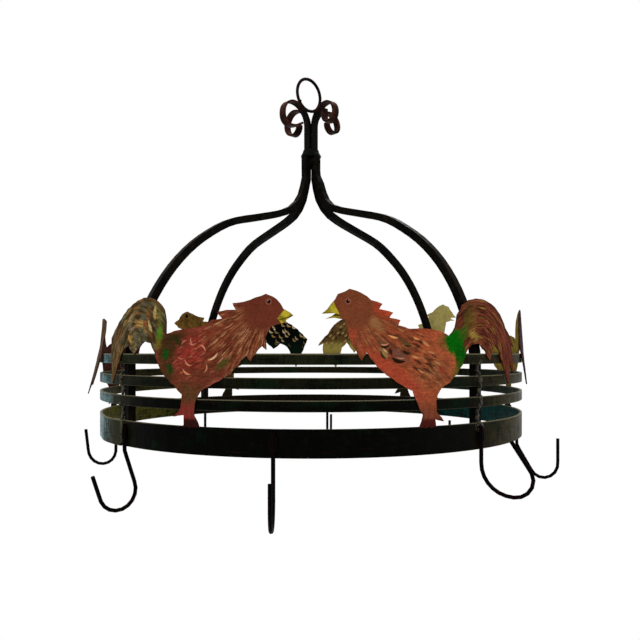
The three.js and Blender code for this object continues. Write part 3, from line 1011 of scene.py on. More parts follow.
@dataclass(frozen=True)
class RoosterPaint:
    """Paints one rooster, outer face and inner face."""

    plumage: Plumage
    sheet: SheetPlace
    inner: InnerPaint

    def material(self, name: str, rack: RackPlace) -> bpy.types.Material:
        """Mixes the paint.

        Args:
            name: the material's name.
            rack: where the rack is.

        Returns:
            The material.
        """
        shader = Shader(name)
        canvas = Canvas(shader, rack, self.sheet)
        look = self.plumage
        run, height = canvas.run, canvas.height
        feathers = canvas.bristles(height, run, 0.5, 0.14, 3.0)
        behind = (height * 0.8 - run + feathers * 8).rise(40, 50)
        colour = self._body(canvas).over(behind, self._tail(canvas))
        colour = colour.over(self._collar(canvas), self._hackles(canvas))
        for blot in look.blots:
            colour = colour.over(canvas.patch(blot), blot.tint)
        colour = colour.flecked(feathers, 0.76, 1.22)
        for stroke in look.strokes:
            colour = colour.over(canvas.stroke(stroke), stroke.tint)
        away = canvas.distance(look.eye[0] - 3, look.eye[1] - 4)
        face = shader.colour(look.head).flecked(shader.noise(90, 4, 0.65), 0.86, 1.14)
        colour = colour.over(away.rise(26, 16), face)

        # Leg and foot: what lies this far under the top hoop's upper edge
        leg = shader.colour(look.leg).flecked(canvas.bristles(run, height, 0.5, 0.06, 23.0), 0.7, 1.3)
        colour = colour.over(height.rise(-40, -52), leg)
        colour = colour.over(height.rise(-57, -61), look.foot)

        colour = self._beak(canvas, colour)
        colour = self._eye(canvas, colour)
        colour = colour.flecked(shader.noise(700, 3, 0.7), 0.72, 1.28)
        colour = colour.over(abs(canvas.outwards).rise(0.75, 0.45), look.edge)
        colour = colour.over(canvas.outwards.rise(0.15, -0.15), self.inner.coloured(canvas))
        relief = feathers * 0.6 + shader.noise(260, 3, 0.6) * 0.5
        return shader.finish(colour, feathers.scaled(0.3, 0.7, 0.42, 0.62), 0.005, relief)

    def _body(self, canvas: Canvas) -> Colour:
        """Paints the breast, back and wing with short curved dabs.

        Args:
            canvas: the sheet.

        Returns:
            The colour.
        """
        look = self.plumage
        run, height = canvas.run, canvas.height
        bow = height * 0.85 - run * 0.5 + canvas.distance(*THIGH) * 0.25
        slip = run * 0.85 + height * 0.5
        wash = canvas.bristles(run, height, 0.06, 0.06, 2.0)
        strokes = canvas.bristles(bow, slip, 0.5, 0.13, 3.0)
        colour = canvas.shader.colour(look.body)
        for patch in look.patches:
            colour = colour.over(canvas.patch(patch), patch.tint)
        colour = colour.shaded(wash.scaled(0.35, 0.65, 0.82, 1.16))
        wing = canvas.oval(look.wing)
        rough = wing * 0.5 + 0.5
        colour = colour.over(strokes.rise(0.5, 0.3) * rough * 0.7, look.shade)
        for layer in look.wing_leaves:
            colour = canvas.leaves(colour, bow, slip, layer, wing)
        return colour

    def _tail(self, canvas: Canvas) -> Colour:
        """Paints the tail with long dabs that follow its arc.

        Args:
            canvas: the sheet.

        Returns:
            The colour.
        """
        look, shader = self.plumage, canvas.shader
        out, sweep = canvas.distance(*TAIL), canvas.bearing(*TAIL)
        quills = canvas.bristles(out, sweep, 0.55, 1.5, 5.0)
        hairs = canvas.bristles(out, sweep, 1.3, 2.4, 11.0)
        drift = shader.noise(0.09, 2, 0.5, at=canvas.at)
        along = sweep * 42 + quills * 2
        colour = shader.colour(look.tail).flecked(quills, 0.7, 1.25)
        for layer in look.tail_leaves:
            colour = canvas.leaves(colour, out + drift * 5, along, layer)
        for patch in look.tail_patches:
            colour = colour.over(canvas.patch(patch) * hairs.rise(0.3, 0.55), patch.tint)
        colour = colour.flecked(hairs, 0.74, 1.2)
        tips = (canvas.height * 0.9 + canvas.run * 0.35).rise(-28, -50)
        colour = colour.over(tips * 0.55, look.tail_rim)
        return colour.over(out.rise(57, 63) * 0.8, look.tail_rim)

    def _collar(self, canvas: Canvas) -> Number:
        """How much the hackles cover: a ragged cape from the head to the shoulder.

        Args:
            canvas: the sheet.

        Returns:
            Their cover, 0 to 1.
        """
        away = canvas.distance(*HEAD)
        ragged = canvas.bristles(canvas.bearing(*HEAD), away, 5.0, 0.02, 41.0)
        return (away + ragged * 34).rise(100, 84) * (canvas.run - canvas.height * 0.3).rise(6, 20)

    def _hackles(self, canvas: Canvas) -> Colour:
        """Paints the neck with strands that hang from the head.

        Args:
            canvas: the sheet.

        Returns:
            The colour.
        """
        look = self.plumage
        away, spread = canvas.distance(*HEAD), canvas.bearing(*HEAD)
        strands = canvas.bristles(spread, away, 13.0, 0.05, 17.0)
        hairs = canvas.bristles(spread, away, 30.0, 0.09, 19.0)
        colour = canvas.shader.colour(look.hackle).flecked(strands, 0.72, 1.25)
        for patch in look.patches:
            colour = colour.over(canvas.patch(patch) * 0.45, patch.tint)
        for layer in look.hackle_leaves:
            colour = canvas.leaves(colour, spread * 45, away, layer, away.rise(16, 30))
        return colour.flecked(hairs, 0.84, 1.16)

    def _beak(self, canvas: Canvas, colour: Colour) -> Colour:
        """Paints the beak: a wedge with a line where it opens.

        Args:
            canvas: the sheet.
            colour: what is under it.

        Returns:
            The colour with the beak on it.
        """
        look, shader = self.plumage, canvas.shader
        run, height = canvas.run, canvas.height
        if look.beak is Beak.CLOSED:
            # A wedge from run 86 with its middle 30.5 over the hoop, and a line that falls inwards
            on = (run - abs(height - 30.5) * 0.8).rise(86.0, 86.8)
            lips = abs(height - 30.3 - (run - 92) * 0.28).rise(0.7, 0.2)
        else:
            # What lies past run 83 and under the crown of the head, and the dark rim of the gape
            on = (run - (height - 33).most(0) * 0.5).rise(82.6, 83.4) * height.rise(47, 46)
            lips = (abs(height - 33.4 - (run - 86) * 0.1) - 0.9).rise(0.4, -0.1)
        stain = shader.noise(150, 2, 0.5).scaled(0.35, 0.65, 0, 1)
        beak = shader.mix(stain, look.yellow, look.yellow_dark)
        return colour.over(on, beak.over(lips * 0.85, LIPS))

    def _eye(self, canvas: Canvas, colour: Colour) -> Colour:
        """Paints the eye.

        Args:
            canvas: the sheet.
            colour: what is under it.

        Returns:
            The colour with the eye on it.
        """
        run, height = self.plumage.eye
        away = canvas.distance(run, height)
        pupil = canvas.distance(run + 0.3, height - 0.3).rise(1.5, 1.0)
        glint = canvas.distance(run - 0.7, height + 0.8).rise(0.7, 0.3)
        colour = colour.over(abs(away - 2.3).rise(0.8, 0.2, 0.4), self.plumage.eye_rim)
        colour = colour.over(away.rise(2.0, 1.5), canvas.shader.mix(pupil, IRIS, PUPIL))
        return colour.over(glint * 0.5, GLINT)


# Rows of patches and blots: run, height, length, width, turn, tint, strength, hardness.
# Rows of strokes: run, height, radius, start, end, width, tint, strength.
ROSE = Plumage(
    beak=Beak.CLOSED,
    eye=(78.9, 45.2),
    body=Tint(104, 50, 34),
    shade=Tint(62, 30, 20),
    wing=Oval(8, -2, 46, 26, 14),
    wing_leaves=(
        Leaves(
            4.0, 9, (Tint(122, 50, 38), Tint(94, 46, 28), Tint(84, 56, 30), Tint(140, 66, 50)),
            strength=0.55, rim=0.4,
        ),
        Leaves(
            5, 7, (Tint(196, 112, 80), Tint(152, 76, 54), Tint(60, 26, 18)),
            strength=0.75, share=0.6, slim=0.13, bend=0.9, rim=0, seed=3,
        ),
    ),
    patches=(
        Patch(8, 2, 27, 18, 20, Tint(150, 48, 42), 1.0),
        Patch(34, -26, 26, 5, 30, Tint(156, 84, 68), 0.85),
        Patch(-26, -32, 20, 4.5, -46, Tint(150, 78, 62), 0.85),
        Patch(24, 24, 30, 5, 8, Tint(138, 62, 48), 0.7),
    ),
    blots=(
        Patch(-23, 6, 14, 16, 0, Tint(54, 40, 18), 0.85, 0.6),
        Patch(-12, 15, 14, 5, 12, Tint(46, 38, 16), 0.85, 0.3),
        Patch(2, -36, 18, 12, 0, Tint(80, 58, 32), 0.8),
        Patch(2, -50, 7, 11, 0, Tint(80, 54, 30), 0.8),
        Patch(-25, -16, 8, 18, 24, Tint(64, 44, 24), 0.85, 0.4),
        Patch(-25.7, -0.5, 7, 5, 75, Tint(22, 64, 16), 1.0, 0.5),
        Patch(-19.5, -14.3, 7, 4.5, -60, Tint(30, 58, 16), 1.0, 0.5),
        Patch(-11, 11, 9, 4, -30, Tint(36, 42, 16), 0.9, 0.2),
        Patch(36.6, -9.3, 11, 4, 38, Tint(66, 64, 24), 0.9, 0.4),
        Patch(-33, 18, 10, 5, 75, Tint(74, 116, 26), 0.95, 0.2),
        Patch(-35, 8, 6, 6, 10, Tint(112, 92, 30), 0.8),
    ),
    strokes=(
        Stroke(21, 6, 12, -88, -22, 1.0, Tint(222, 184, 140)),
        Stroke(6, 15, 7, -130, -50, 0.8, Tint(196, 128, 104), 0.7),
        Stroke(12, 0, 8, 10, 80, 0.8, Tint(212, 158, 120), 0.8),
        Stroke(4, -4, 7, -180, -70, 0.9, Tint(214, 142, 106), 0.8),
        Stroke(3, -10, 9, -160, -80, 1.0, Tint(216, 142, 100), 0.8),
        Stroke(0, 5, 7, 90, 160, 0.8, Tint(190, 120, 96), 0.7),
        Stroke(15, -12, 6, -70, 40, 0.8, Tint(212, 140, 104), 0.8),
        Stroke(-6, 1, 6, -150, -60, 0.7, Tint(186, 120, 94), 0.6),
        Stroke(10, 12, 6, 150, 230, 0.8, Tint(200, 136, 108), 0.7),
    ),
    head=Tint(99, 46, 31),
    hackle=Tint(106, 51, 33),
    hackle_leaves=(
        Leaves(
            2.6, 12, (Tint(140, 92, 60), Tint(108, 50, 32), Tint(126, 72, 46), Tint(92, 42, 26)),
            strength=0.8, rim=0.4,
        ),
        Leaves(
            2.4, 9, (Tint(152, 102, 68), Tint(134, 80, 52)),
            strength=0.6, share=0.6, slim=0.32, bend=0.3, rim=0.3, seed=5,
        ),
        Leaves(
            3.4, 9, (Tint(170, 122, 86), Tint(62, 30, 18)),
            strength=0.7, share=0.45, slim=0.17, bend=0.5, rim=0.2, seed=8,
        ),
    ),
    tail=Tint(62, 48, 26),
    tail_leaves=(
        Leaves(6.2, 16, (Tint(108, 92, 56), Tint(86, 80, 54), Tint(110, 76, 40), Tint(84, 78, 60)), rim=0.7),
        Leaves(
            6.4, 13, (Tint(134, 104, 60), Tint(104, 98, 66), Tint(118, 76, 40), Tint(92, 86, 66)),
            share=0.6, slim=0.4, bend=0.3, rim=0.7, seed=3,
        ),
    ),
    tail_patches=(
        Patch(-66, 15, 9, 12, 0, Tint(92, 88, 62), 0.7),
        Patch(-33, 32, 15, 4, 88, Tint(100, 102, 48), 0.8, 0.2),
        Patch(-50, 37, 10, 6, 62, Tint(126, 84, 46), 0.8, 0.2),
        Patch(-39.5, 39, 8, 2.6, 86, Tint(184, 156, 88), 0.9, 0.6),
        Patch(-56, 35, 7, 3, -22, Tint(90, 94, 74), 0.85, 0.5),
        Patch(-62.5, 28, 8, 4, 6, Tint(170, 132, 72), 0.9, 0.6),
        Patch(-53, 27.5, 5, 3.6, 84, Tint(150, 82, 44), 0.85, 0.5),
        Patch(-46.5, 25.5, 7, 2, -64, Tint(194, 164, 108), 0.9, 0.6),
        Patch(-78, 24, 7.5, 1.8, 8, Tint(152, 122, 104), 0.9, 0.6),
        Patch(-75, 38, 15, 3.6, 36, Tint(130, 106, 72), 0.85, 0.5),
        Patch(-83, 33.5, 6, 2, 30, Tint(172, 144, 100), 0.9, 0.6),
        Patch(-92, 22, 12, 3, 48, Tint(120, 104, 72), 0.8, 0.5),
        Patch(-80, 14, 7.5, 2.6, -44, Tint(176, 142, 74), 0.9, 0.6),
        Patch(-69, 5, 3.4, 9, 0, Tint(104, 106, 78), 0.8, 0.3),
        Patch(-94, 12, 12, 2.4, 44, Tint(52, 38, 20), 0.8, 0.4),
        Patch(-110, 17, 4, 15, -34, Tint(106, 56, 30), 0.85, 0.2),
        Patch(-104, -2, 4, 18, -20, Tint(134, 98, 66), 0.7, 0.2),
    ),
    tail_rim=Tint(92, 66, 36),
    edge=Tint(48, 24, 18),
    leg=Tint(118, 46, 38),
    foot=Tint(46, 20, 16),
    eye_rim=Tint(150, 110, 90),
)
SALMON = Plumage(
    beak=Beak.OPEN,
    eye=(76.1, 45.4),
    body=Tint(166, 82, 50),
    shade=Tint(92, 50, 32),
    wing=Oval(14, 2, 54, 21, 36),
    wing_leaves=(
        Leaves(
            4.8, 11, (Tint(158, 96, 58), Tint(132, 74, 46), Tint(94, 54, 34), Tint(152, 84, 52)),
            strength=0.85, rim=0.6,
        ),
        Leaves(
            6, 9, (Tint(188, 134, 82), Tint(44, 26, 16), Tint(150, 98, 60), Tint(54, 32, 22)),
            strength=0.92, share=0.75, slim=0.24, bend=0.7, rim=0.3, seed=3,
        ),
    ),
    patches=(
        Patch(-8, -18, 24, 18, 0, Tint(116, 70, 44), 0.9),
        Patch(10, 20, 34, 7, 0, Tint(150, 68, 42), 0.9),
        Patch(8, -42, 18, 10, 60, Tint(140, 68, 46), 0.9),
        Patch(-20, 12, 13, 8, -20, Tint(76, 70, 28), 0.9),
        Patch(-34, -18, 7, 16, 20, Tint(84, 84, 30), 0.8),
    ),
    blots=(
        Patch(74, 20, 8, 16, 10, Tint(156, 66, 42), 0.9, 0.2),
        Patch(34, -17, 40, 9, 37, Tint(158, 66, 44), 1.0, 0.5),
        Patch(52, 26, 12, 7, 40, Tint(148, 104, 64), 0.8),
        Patch(29, -0.5, 11, 5, 30, Tint(108, 68, 56), 0.9, 0.2),
        Patch(22, 8.5, 9, 3, 28, Tint(98, 74, 40), 0.85, 0.1),
        Patch(43.5, 0.5, 7, 3.2, 62, Tint(142, 114, 66), 0.9, 0.5),
        Patch(37.5, 1.5, 4.5, 2.4, 60, Tint(26, 20, 14), 0.95, 0.3),
        Patch(22.5, 0.5, 5.5, 2.2, 24, Tint(22, 20, 13), 0.95, 0.3),
        Patch(46, 9.5, 6, 2.2, 20, Tint(96, 66, 42), 0.8, 0.3),
        Patch(12, -14, 9, 2, 34, Tint(48, 28, 20), 0.8, 0.3),
        Patch(-16, -15, 5, 4, 60, Tint(150, 44, 40), 0.7),
        Patch(50, 40, 30, 7, 24, Tint(166, 60, 36), 0.85),
        Patch(-31, 10, 14, 13, 24, Tint(8, 92, 10), 1.0, 0.8),
        Patch(-41, 18, 7, 9, 8, Tint(46, 86, 20), 0.85, 0.3),
        Patch(-39, -3, 9, 13, 0, Tint(8, 78, 10), 1.0, 0.6),
        Patch(-37, -14, 6, 10, 0, Tint(58, 76, 20), 0.8),
        Patch(81.5, 29.8, 4.5, 0.8, 20, Tint(24, 16, 10), 0.9, 0.4),
    ),
    strokes=(
        Stroke(43.5, 13, 7.5, -142, -48, 1.5, Tint(22, 15, 10)),
        Stroke(43.5, 15, 7.5, -130, -60, 0.9, Tint(196, 134, 104)),
        Stroke(27, 6, 13.5, -114, -36, 2.0, Tint(22, 15, 11), 0.95),
        Stroke(27, 9, 13.5, -108, -62, 0.9, Tint(178, 124, 102), 0.85),
        Stroke(36, 4, 11, -62, -2, 1.3, Tint(34, 28, 14)),
        Stroke(37, 8, 8, -70, -20, 0.8, Tint(196, 160, 112), 0.85),
        Stroke(28, 42, 28.5, -87, -64, 1.1, Tint(216, 148, 86), 0.95),
        Stroke(28, 44, 28.5, -86, -68, 0.8, Tint(70, 46, 24), 0.8),
        Stroke(20, 16, 9.5, -112, -58, 1.1, Tint(42, 24, 15), 0.85),
        Stroke(8, 20, 24, -87, -66, 1.1, Tint(200, 134, 80), 0.85),
        Stroke(6, 30, 18, -82, -56, 1.1, Tint(208, 142, 84), 0.85),
        Stroke(-6, 24, 18, -80, -50, 1.0, Tint(200, 132, 78), 0.8),
        Stroke(2, 4, 20, -84, -52, 1.3, Tint(50, 30, 20), 0.8),
        Stroke(0, -2, 16, -80, -44, 1.0, Tint(196, 132, 84), 0.8),
        Stroke(-4, 8, 14, -110, -50, 1.1, Tint(60, 34, 24), 0.8),
    ),
    head=Tint(114, 60, 37),
    hackle=Tint(126, 64, 38),
    hackle_leaves=(
        Leaves(
            3.2, 14, (Tint(140, 82, 52), Tint(118, 62, 40), Tint(104, 62, 42), Tint(150, 70, 46)),
            strength=0.6, rim=0.35,
        ),
        Leaves(
            3.4, 9, (Tint(150, 94, 60), Tint(88, 48, 32), Tint(160, 82, 58)),
            strength=0.7, share=0.5, slim=0.32, bend=0.5, rim=0.5, seed=5,
        ),
    ),
    tail=Tint(104, 52, 34),
    tail_leaves=(
        Leaves(3.2, 26, (Tint(124, 60, 42), Tint(96, 44, 30), Tint(132, 72, 50), Tint(76, 34, 24))),
        Leaves(
            3.6, 12, (Tint(136, 104, 44), Tint(104, 84, 28), Tint(120, 62, 38)),
            strength=0.8, share=0.4, slim=0.26, bend=0.35, rim=0.4, seed=3,
        ),
        Leaves(4.4, 17, (Tint(44, 20, 13), Tint(58, 26, 18)), share=0.5, slim=0.15, bend=0.3, rim=0, seed=6),
    ),
    tail_patches=(
        Patch(-56, 32, 9, 18, 16, Tint(104, 88, 34), 0.7),
        Patch(-58, 17, 10, 6, 20, Tint(156, 130, 60), 0.9, 0.3),
        Patch(-46, 20, 5, 9, 10, Tint(74, 84, 26), 0.7, 0.1),
        Patch(-48, 34, 6, 18, 14, Tint(66, 78, 22), 0.7),
    ),
    tail_rim=Tint(88, 38, 26),
    edge=Tint(50, 24, 16),
    leg=Tint(116, 60, 40),
    foot=Tint(72, 26, 22),
    eye_rim=Tint(150, 104, 86),
)


# The back roosters' outer faces, which the photograph hides, are plainer
PLAIN = replace(ROSE, tail_patches=(), blots=ROSE.blots[:5])
SIMPLE = replace(SALMON, tail_patches=(), patches=SALMON.patches[:2], blots=SALMON.blots[-6:])
DUSKY = replace(
    ROSE,
    tail=Tint(44, 22, 20),
    tail_leaves=(Leaves(4, 13, (Tint(54, 26, 22), Tint(30, 20, 22), Tint(66, 34, 24))),),
    tail_patches=(),
    tail_rim=Tint(34, 18, 20),
)
RUSSET = replace(
    SALMON,
    tail=Tint(78, 56, 28),
    tail_leaves=(Leaves(4, 13, (Tint(88, 66, 34), Tint(60, 42, 22), Tint(106, 82, 46))),),
    tail_patches=(),
    tail_rim=Tint(44, 30, 18),
)

WINE = InnerPaint(ground=Tint(70, 30, 20), shadow=Tint(42, 20, 14), fleck=Tint(96, 56, 34))
GOLD = InnerPaint(
    ground=Tint(132, 112, 44), shadow=Tint(104, 84, 32), fleck=Tint(150, 132, 64), tail=Tint(40, 18, 16)
)
OLIVE = InnerPaint(
    ground=Tint(176, 162, 98),
    shadow=Tint(158, 144, 80),
    fleck=Tint(186, 176, 120),
    fleck_share=0.2,
    tail=Tint(84, 62, 32),
    tail_curls=(
        Leaves(
            5.5, 6, (Tint(112, 88, 46), Tint(46, 32, 18), Tint(150, 126, 76)),
            share=0.8, slim=0.3, bend=0.9, rim=0.5,
        ),
    ),
    tail_low=Tint(142, 128, 62),
)
DARK = InnerPaint(
    ground=Tint(112, 82, 34),
    shadow=Tint(78, 58, 26),
    fleck=Tint(150, 112, 56),
    fleck_share=0.5,
    tail=Tint(7, 10, 8),
    tail_curls=(
        Leaves(
            7.5, 8, (Tint(186, 164, 126), Tint(140, 108, 62), Tint(160, 136, 96)),
            share=0.65, slim=0.2, bend=1.1, rim=0.25,
        ),
    ),
    tail_low=Tint(8, 20, 12),
    eye=Tint(10, 10, 8),
)


# ---------------------------------------------------------------- dressing


def smooth(node: bpy.types.Object, crease: float, edge: float) -> None:
    """Shades a mesh smoothly, and rounds its edges a little.

    Args:
        node: the mesh.
        crease: degrees from which an edge stays sharp.
        edge: width of the rounded edges, in millimetres.
    """
    for polygon in node.data.polygons:
        polygon.use_smooth = True
    rounded = node.modifiers.new("rounded edges", "BEVEL")
    rounded.width = edge * MILLIMETRE
    rounded.segments = 2
    rounded.limit_method = "ANGLE"
    rounded.angle_limit = math.radians(crease)
    rounded.harden_normals = True
    split = node.modifiers.new("sharp creases", "EDGE_SPLIT")
    split.split_angle = math.radians(crease)


def wear(node: bpy.types.Object, material: bpy.types.Material) -> None:
    """Gives a mesh one material in place of what it had."""
    node.data.materials.clear()
    node.data.materials.append(material)


def finish_pieces(
    nodes: Mapping[str, bpy.types.Object],
    names: Sequence[str],
    material: bpy.types.Material,
    crease: float,
    edge: float,
) -> None:
    """Gives pieces of one kind their finish and rounded edges.

    Args:
        nodes: the meshes by name.
        names: which of them are dressed.
        material: the finish.
        crease: degrees from which an edge stays sharp.
        edge: width of the rounded edges, in millimetres.
    """
    for name in names:
        smooth(nodes[name], crease, edge)
        wear(nodes[name], material)
        LOG.info("%s dressed in %s", name, material.name)


@dataclass
class Hoops:
    """The three narrow hoops and the wide band."""

    narrow: Sequence[str] = ("top_hoop", "second_hoop", "third_hoop")
    band: str = "hook_band"
    paint: HoopPaint = HoopPaint()
    crease: float = 40
    edge: float = 0.5

    def spans(self, rack: RackPlace) -> Sequence[tuple[float, float]]:
        """Reads where the strips lie.

        Args:
            rack: where the rack is.

        Returns:
            Each strip's upper and lower edge over the top hoop's top, in millimetres.
        """
        boxes = [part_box(name) for name in (*self.narrow, self.band)]
        return [((high.z - rack.top) / MILLIMETRE, (low.z - rack.top) / MILLIMETRE) for low, high in boxes]

    def dress(self, rack: RackPlace, nodes: Mapping[str, bpy.types.Object]) -> None:
        """Gives the hoops their enamel.

        Args:
            rack: where the rack is.
            nodes: the meshes by name.
        """
        for name, (top, bottom) in zip((*self.narrow, self.band), self.spans(rack)):
            material = self.paint.material(f"{name} enamel", rack, top, bottom)
            finish_pieces(nodes, (name,), material, self.crease, self.edge)


@dataclass
class Bars:
    """The four bent square bars."""

    names: Sequence[str] = tuple(f"arm_{corner}" for corner in CORNERS)
    finish: IronFinish = IronFinish(
        dark=Tint(3, 4, 3), light=Tint(11, 10, 7), rust_and_highlight=Tint(40, 28, 18), rust_share=0.4, shine=0.012
    )
    crease: float = 40
    edge: float = 0.8

    def dress(self, rack: RackPlace, nodes: Mapping[str, bpy.types.Object]) -> None:
        """Gives the bars their forged finish."""
        iron = self.finish.material("forged bar", rack)
        finish_pieces(nodes, self.names, iron, self.crease, self.edge)


@dataclass
class Crown:
    """The scrolls, the weld round their feet and the hanging ring."""

    scrolls: Sequence[str] = tuple(f"scroll_{corner}" for corner in CORNERS)
    weld: str = "crown_weld"
    ring: str = "hanging_ring"
    crease: float = 40
    edge: float = 0.5
    ring_crease: float = 60
    ring_edge: float = 0.2
    finish: IronFinish = IronFinish(
        dark=Tint(20, 10, 7),
        light=Tint(48, 24, 17),
        rust_and_highlight=Tint(86, 42, 26),
        rust_share=0.6,
        shine=0.02,
        roughness=0.4,
        relief=0.0005,
        stem=Tint(8, 10, 7),
    )
    steel: IronFinish = IronFinish(
        dark=Tint(10, 5, 4),
        light=Tint(24, 11, 9),
        rust_and_highlight=Tint(46, 22, 18),
        rust_share=0.4,
        shine=0.02,
        roughness=0.35,
        relief=0.0003,
    )

    def dress(self, rack: RackPlace, nodes: Mapping[str, bpy.types.Object]) -> None:
        """Gives the crown its rusty finish, and the ring bare steel.

        Args:
            rack: where the rack is.
            nodes: the meshes by name.
        """
        iron, steel = self.finish.material("crown iron", rack), self.steel.material("bare steel", rack)
        finish_pieces(nodes, (*self.scrolls, self.weld), iron, self.crease, self.edge)
        finish_pieces(nodes, (self.ring,), steel, self.ring_crease, self.ring_edge)


@dataclass(frozen=True)
class WeldRun:
    """A run of weld: its azimuth, the share of its lumps kept on faces, and its splashes."""

    azimuth: float
    on_faces: float
    splashes: int = 0


@dataclass
class Welds:
    """Lumps of weld run down the bars and over the hoops where they meet, in millimetres."""

    runs: Sequence[WeldRun] = (
        WeldRun(-49.4, 0.3, 8),
        WeldRun(40.3, 1.0, 26),
        WeldRun(131.5, 0.5),
        WeldRun(-138.5, 0.5),
    )
    thickness: float = 2.5
    step: float = 1.7
    lump: float = 2.3
    scatter: float = 2.0
    splash: float = 3.6
    grain: float = 0.4
    head: float = 2.0
    foot: float = 12.0
    seed: int = 11
    # The light tan rusty tint stands partly for corrosion and partly for painted glints on the lumps
    finish: IronFinish = IronFinish(
        dark=Tint(5, 5, 3),
        light=Tint(18, 16, 10),
        rust_and_highlight=Tint(116, 100, 66),
        rust_share=0.4,
        shine=0.12,
        roughness=0.3,
    )

    def build(self, rack: RackPlace, spans: Sequence[tuple[float, float]]) -> None:
        """Lays the runs.

        Args:
            rack: where the rack is.
            spans: the upper and lower edge of each hoop's strip, from the top hoop down.
        """
        chance = random.Random(self.seed)
        material = self.finish.material("weld", rack)
        for number, run in enumerate(self.runs, 1):
            mesh = bpy.data.meshes.new(f"weld_run_{number}")
            piece = bpy.data.objects.new(f"weld_run_{number}", mesh)
            bpy.context.scene.collection.objects.link(piece)
            shape = bmesh.new()
            height = spans[0][1] + self.head
            while height > spans[-1][0] - self.foot:
                self._lump(shape, rack, run, spans, height, chance)
                height -= self.step * chance.uniform(0.7, 1.3)
            for _ in range(run.splashes):
                height = spans[-1][0] - self.splash * chance.uniform(0.1, 1.6)
                self._lump(shape, rack, run, spans, height, chance, self.splash)
            shape.to_mesh(mesh)
            shape.free()
            fused = piece.modifiers.new("fused", "REMESH")
            fused.mode = "VOXEL"
            fused.voxel_size = self.grain * MILLIMETRE
            fused.use_smooth_shade = True
            wear(piece, material)
            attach(piece, "root")
            LOG.info("weld run %d laid", number)

    def _lump(
        self,
        shape: bmesh.types.BMesh,
        rack: RackPlace,
        run: WeldRun,
        spans: Sequence[tuple[float, float]],
        height: float,
        chance: random.Random,
        spread: float = 1.0,
    ) -> None:
        """Adds one lump to a run.

        Args:
            shape: the run's mesh so far.
            rack: where the rack is.
            run: the run.
            spans: the hoops' upper and lower edges.
            height: the lump's height over the top hoop's top.
            chance: the source of its irregularity.
            spread: how much further aside it may lie than the run's own lumps.
        """
        size = self.lump * chance.uniform(0.6, 1.15) / spread ** 0.5
        aside = chance.uniform(-1, 1) * self.scatter * spread
        kept = chance.random()
        on_face = any(bottom < height < top for top, bottom in spans)
        if on_face and kept > run.on_faces:
            return
        radius = rack.radius / MILLIMETRE - (0.0 if on_face else self.thickness)
        turn = math.radians(run.azimuth) + aside / radius
        place = Vector((radius * math.sin(turn), -radius * math.cos(turn), height)) * MILLIMETRE
        middle = Vector((rack.x, rack.y, rack.top)) + place
        flat = Matrix.Diagonal((1.0, 0.6, chance.uniform(0.9, 1.4), 1.0))
        frame = Matrix.Translation(middle) @ Matrix.Rotation(turn, 4, "Z") @ flat
        bmesh.ops.create_icosphere(shape, subdivisions=2, radius=size * MILLIMETRE, matrix=frame)


@dataclass
class Hooks:
    """The eight hooks of round rod."""

    names: Sequence[str] = tuple(f"hook_{place}" for place in (*CORNERS, "front", "right", "back", "left"))
    finish: IronFinish = IronFinish(
        dark=Tint(2, 2, 2),
        light=Tint(7, 4, 4),
        rust_and_highlight=Tint(28, 9, 8),
        rust_share=0.45,
        shine=0.01,
        roughness=0.4,
        relief=0.0002,
    )
    crease: float = 65
    edge: float = 0.15

    def dress(self, rack: RackPlace, nodes: Mapping[str, bpy.types.Object]) -> None:
        """Gives the hooks their dark finish."""
        iron = self.finish.material("hook iron", rack)
        finish_pieces(nodes, self.names, iron, self.crease, self.edge)


@dataclass
class Flock:
    """The six roosters of cut and painted sheet, with soft cut edges."""

    paints: Sequence[tuple[str, RoosterPaint]] = (
        ("rooster_front_left", RoosterPaint(ROSE, SheetPlace(-26.5, Facing.RIGHT), WINE)),
        ("rooster_front_right", RoosterPaint(SALMON, SheetPlace(24.8, Facing.LEFT), WINE)),
        ("rooster_right", RoosterPaint(DUSKY, SheetPlace(93.5, Facing.RIGHT, tilt=2), GOLD)),
        ("rooster_back_right", RoosterPaint(SIMPLE, SheetPlace(144.4, Facing.LEFT, 3, 12.5), OLIVE)),
        ("rooster_back_left", RoosterPaint(PLAIN, SheetPlace(-149.5, Facing.RIGHT, 1, 9.5), DARK)),
        ("rooster_left", RoosterPaint(RUSSET, SheetPlace(-94, Facing.LEFT, 2.5, -9), WINE)),
    )
    crease: float = 50
    edge: float = 0.25

    def dress(self, rack: RackPlace, nodes: Mapping[str, bpy.types.Object]) -> None:
        """Paints the roosters."""
        for name, paint in self.paints:
            finish_pieces(nodes, (name,), paint.material(name, rack), self.crease, self.edge)


# ---------------------------------------------------------------- studio


@dataclass
class Lamp:
    """A soft lamp aimed at the rack, in degrees, metres and watts."""

    name: str
    azimuth: float
    elevation: float
    power: float
    distance: float = 2.4
    size: float = 1.6

    def build(self, rack: RackPlace) -> None:
        """Hangs the lamp.

        Args:
            rack: where the rack is.
        """
        data = bpy.data.lights.new(self.name, "AREA")
        data.shape = "DISK"
        data.size = self.size
        data.energy = self.power
        lamp = bpy.data.objects.new(self.name, data)
        bpy.context.scene.collection.objects.link(lamp)
        turn, up = math.radians(self.azimuth), math.radians(self.elevation)
        flat = self.distance * math.cos(up)
        lamp.location = (
            rack.x + flat * math.sin(turn),
            rack.y - flat * math.cos(turn),
            rack.top + self.distance * math.sin(up),
        )
        lamp.rotation_euler = (math.pi / 2 - up, 0.0, turn)


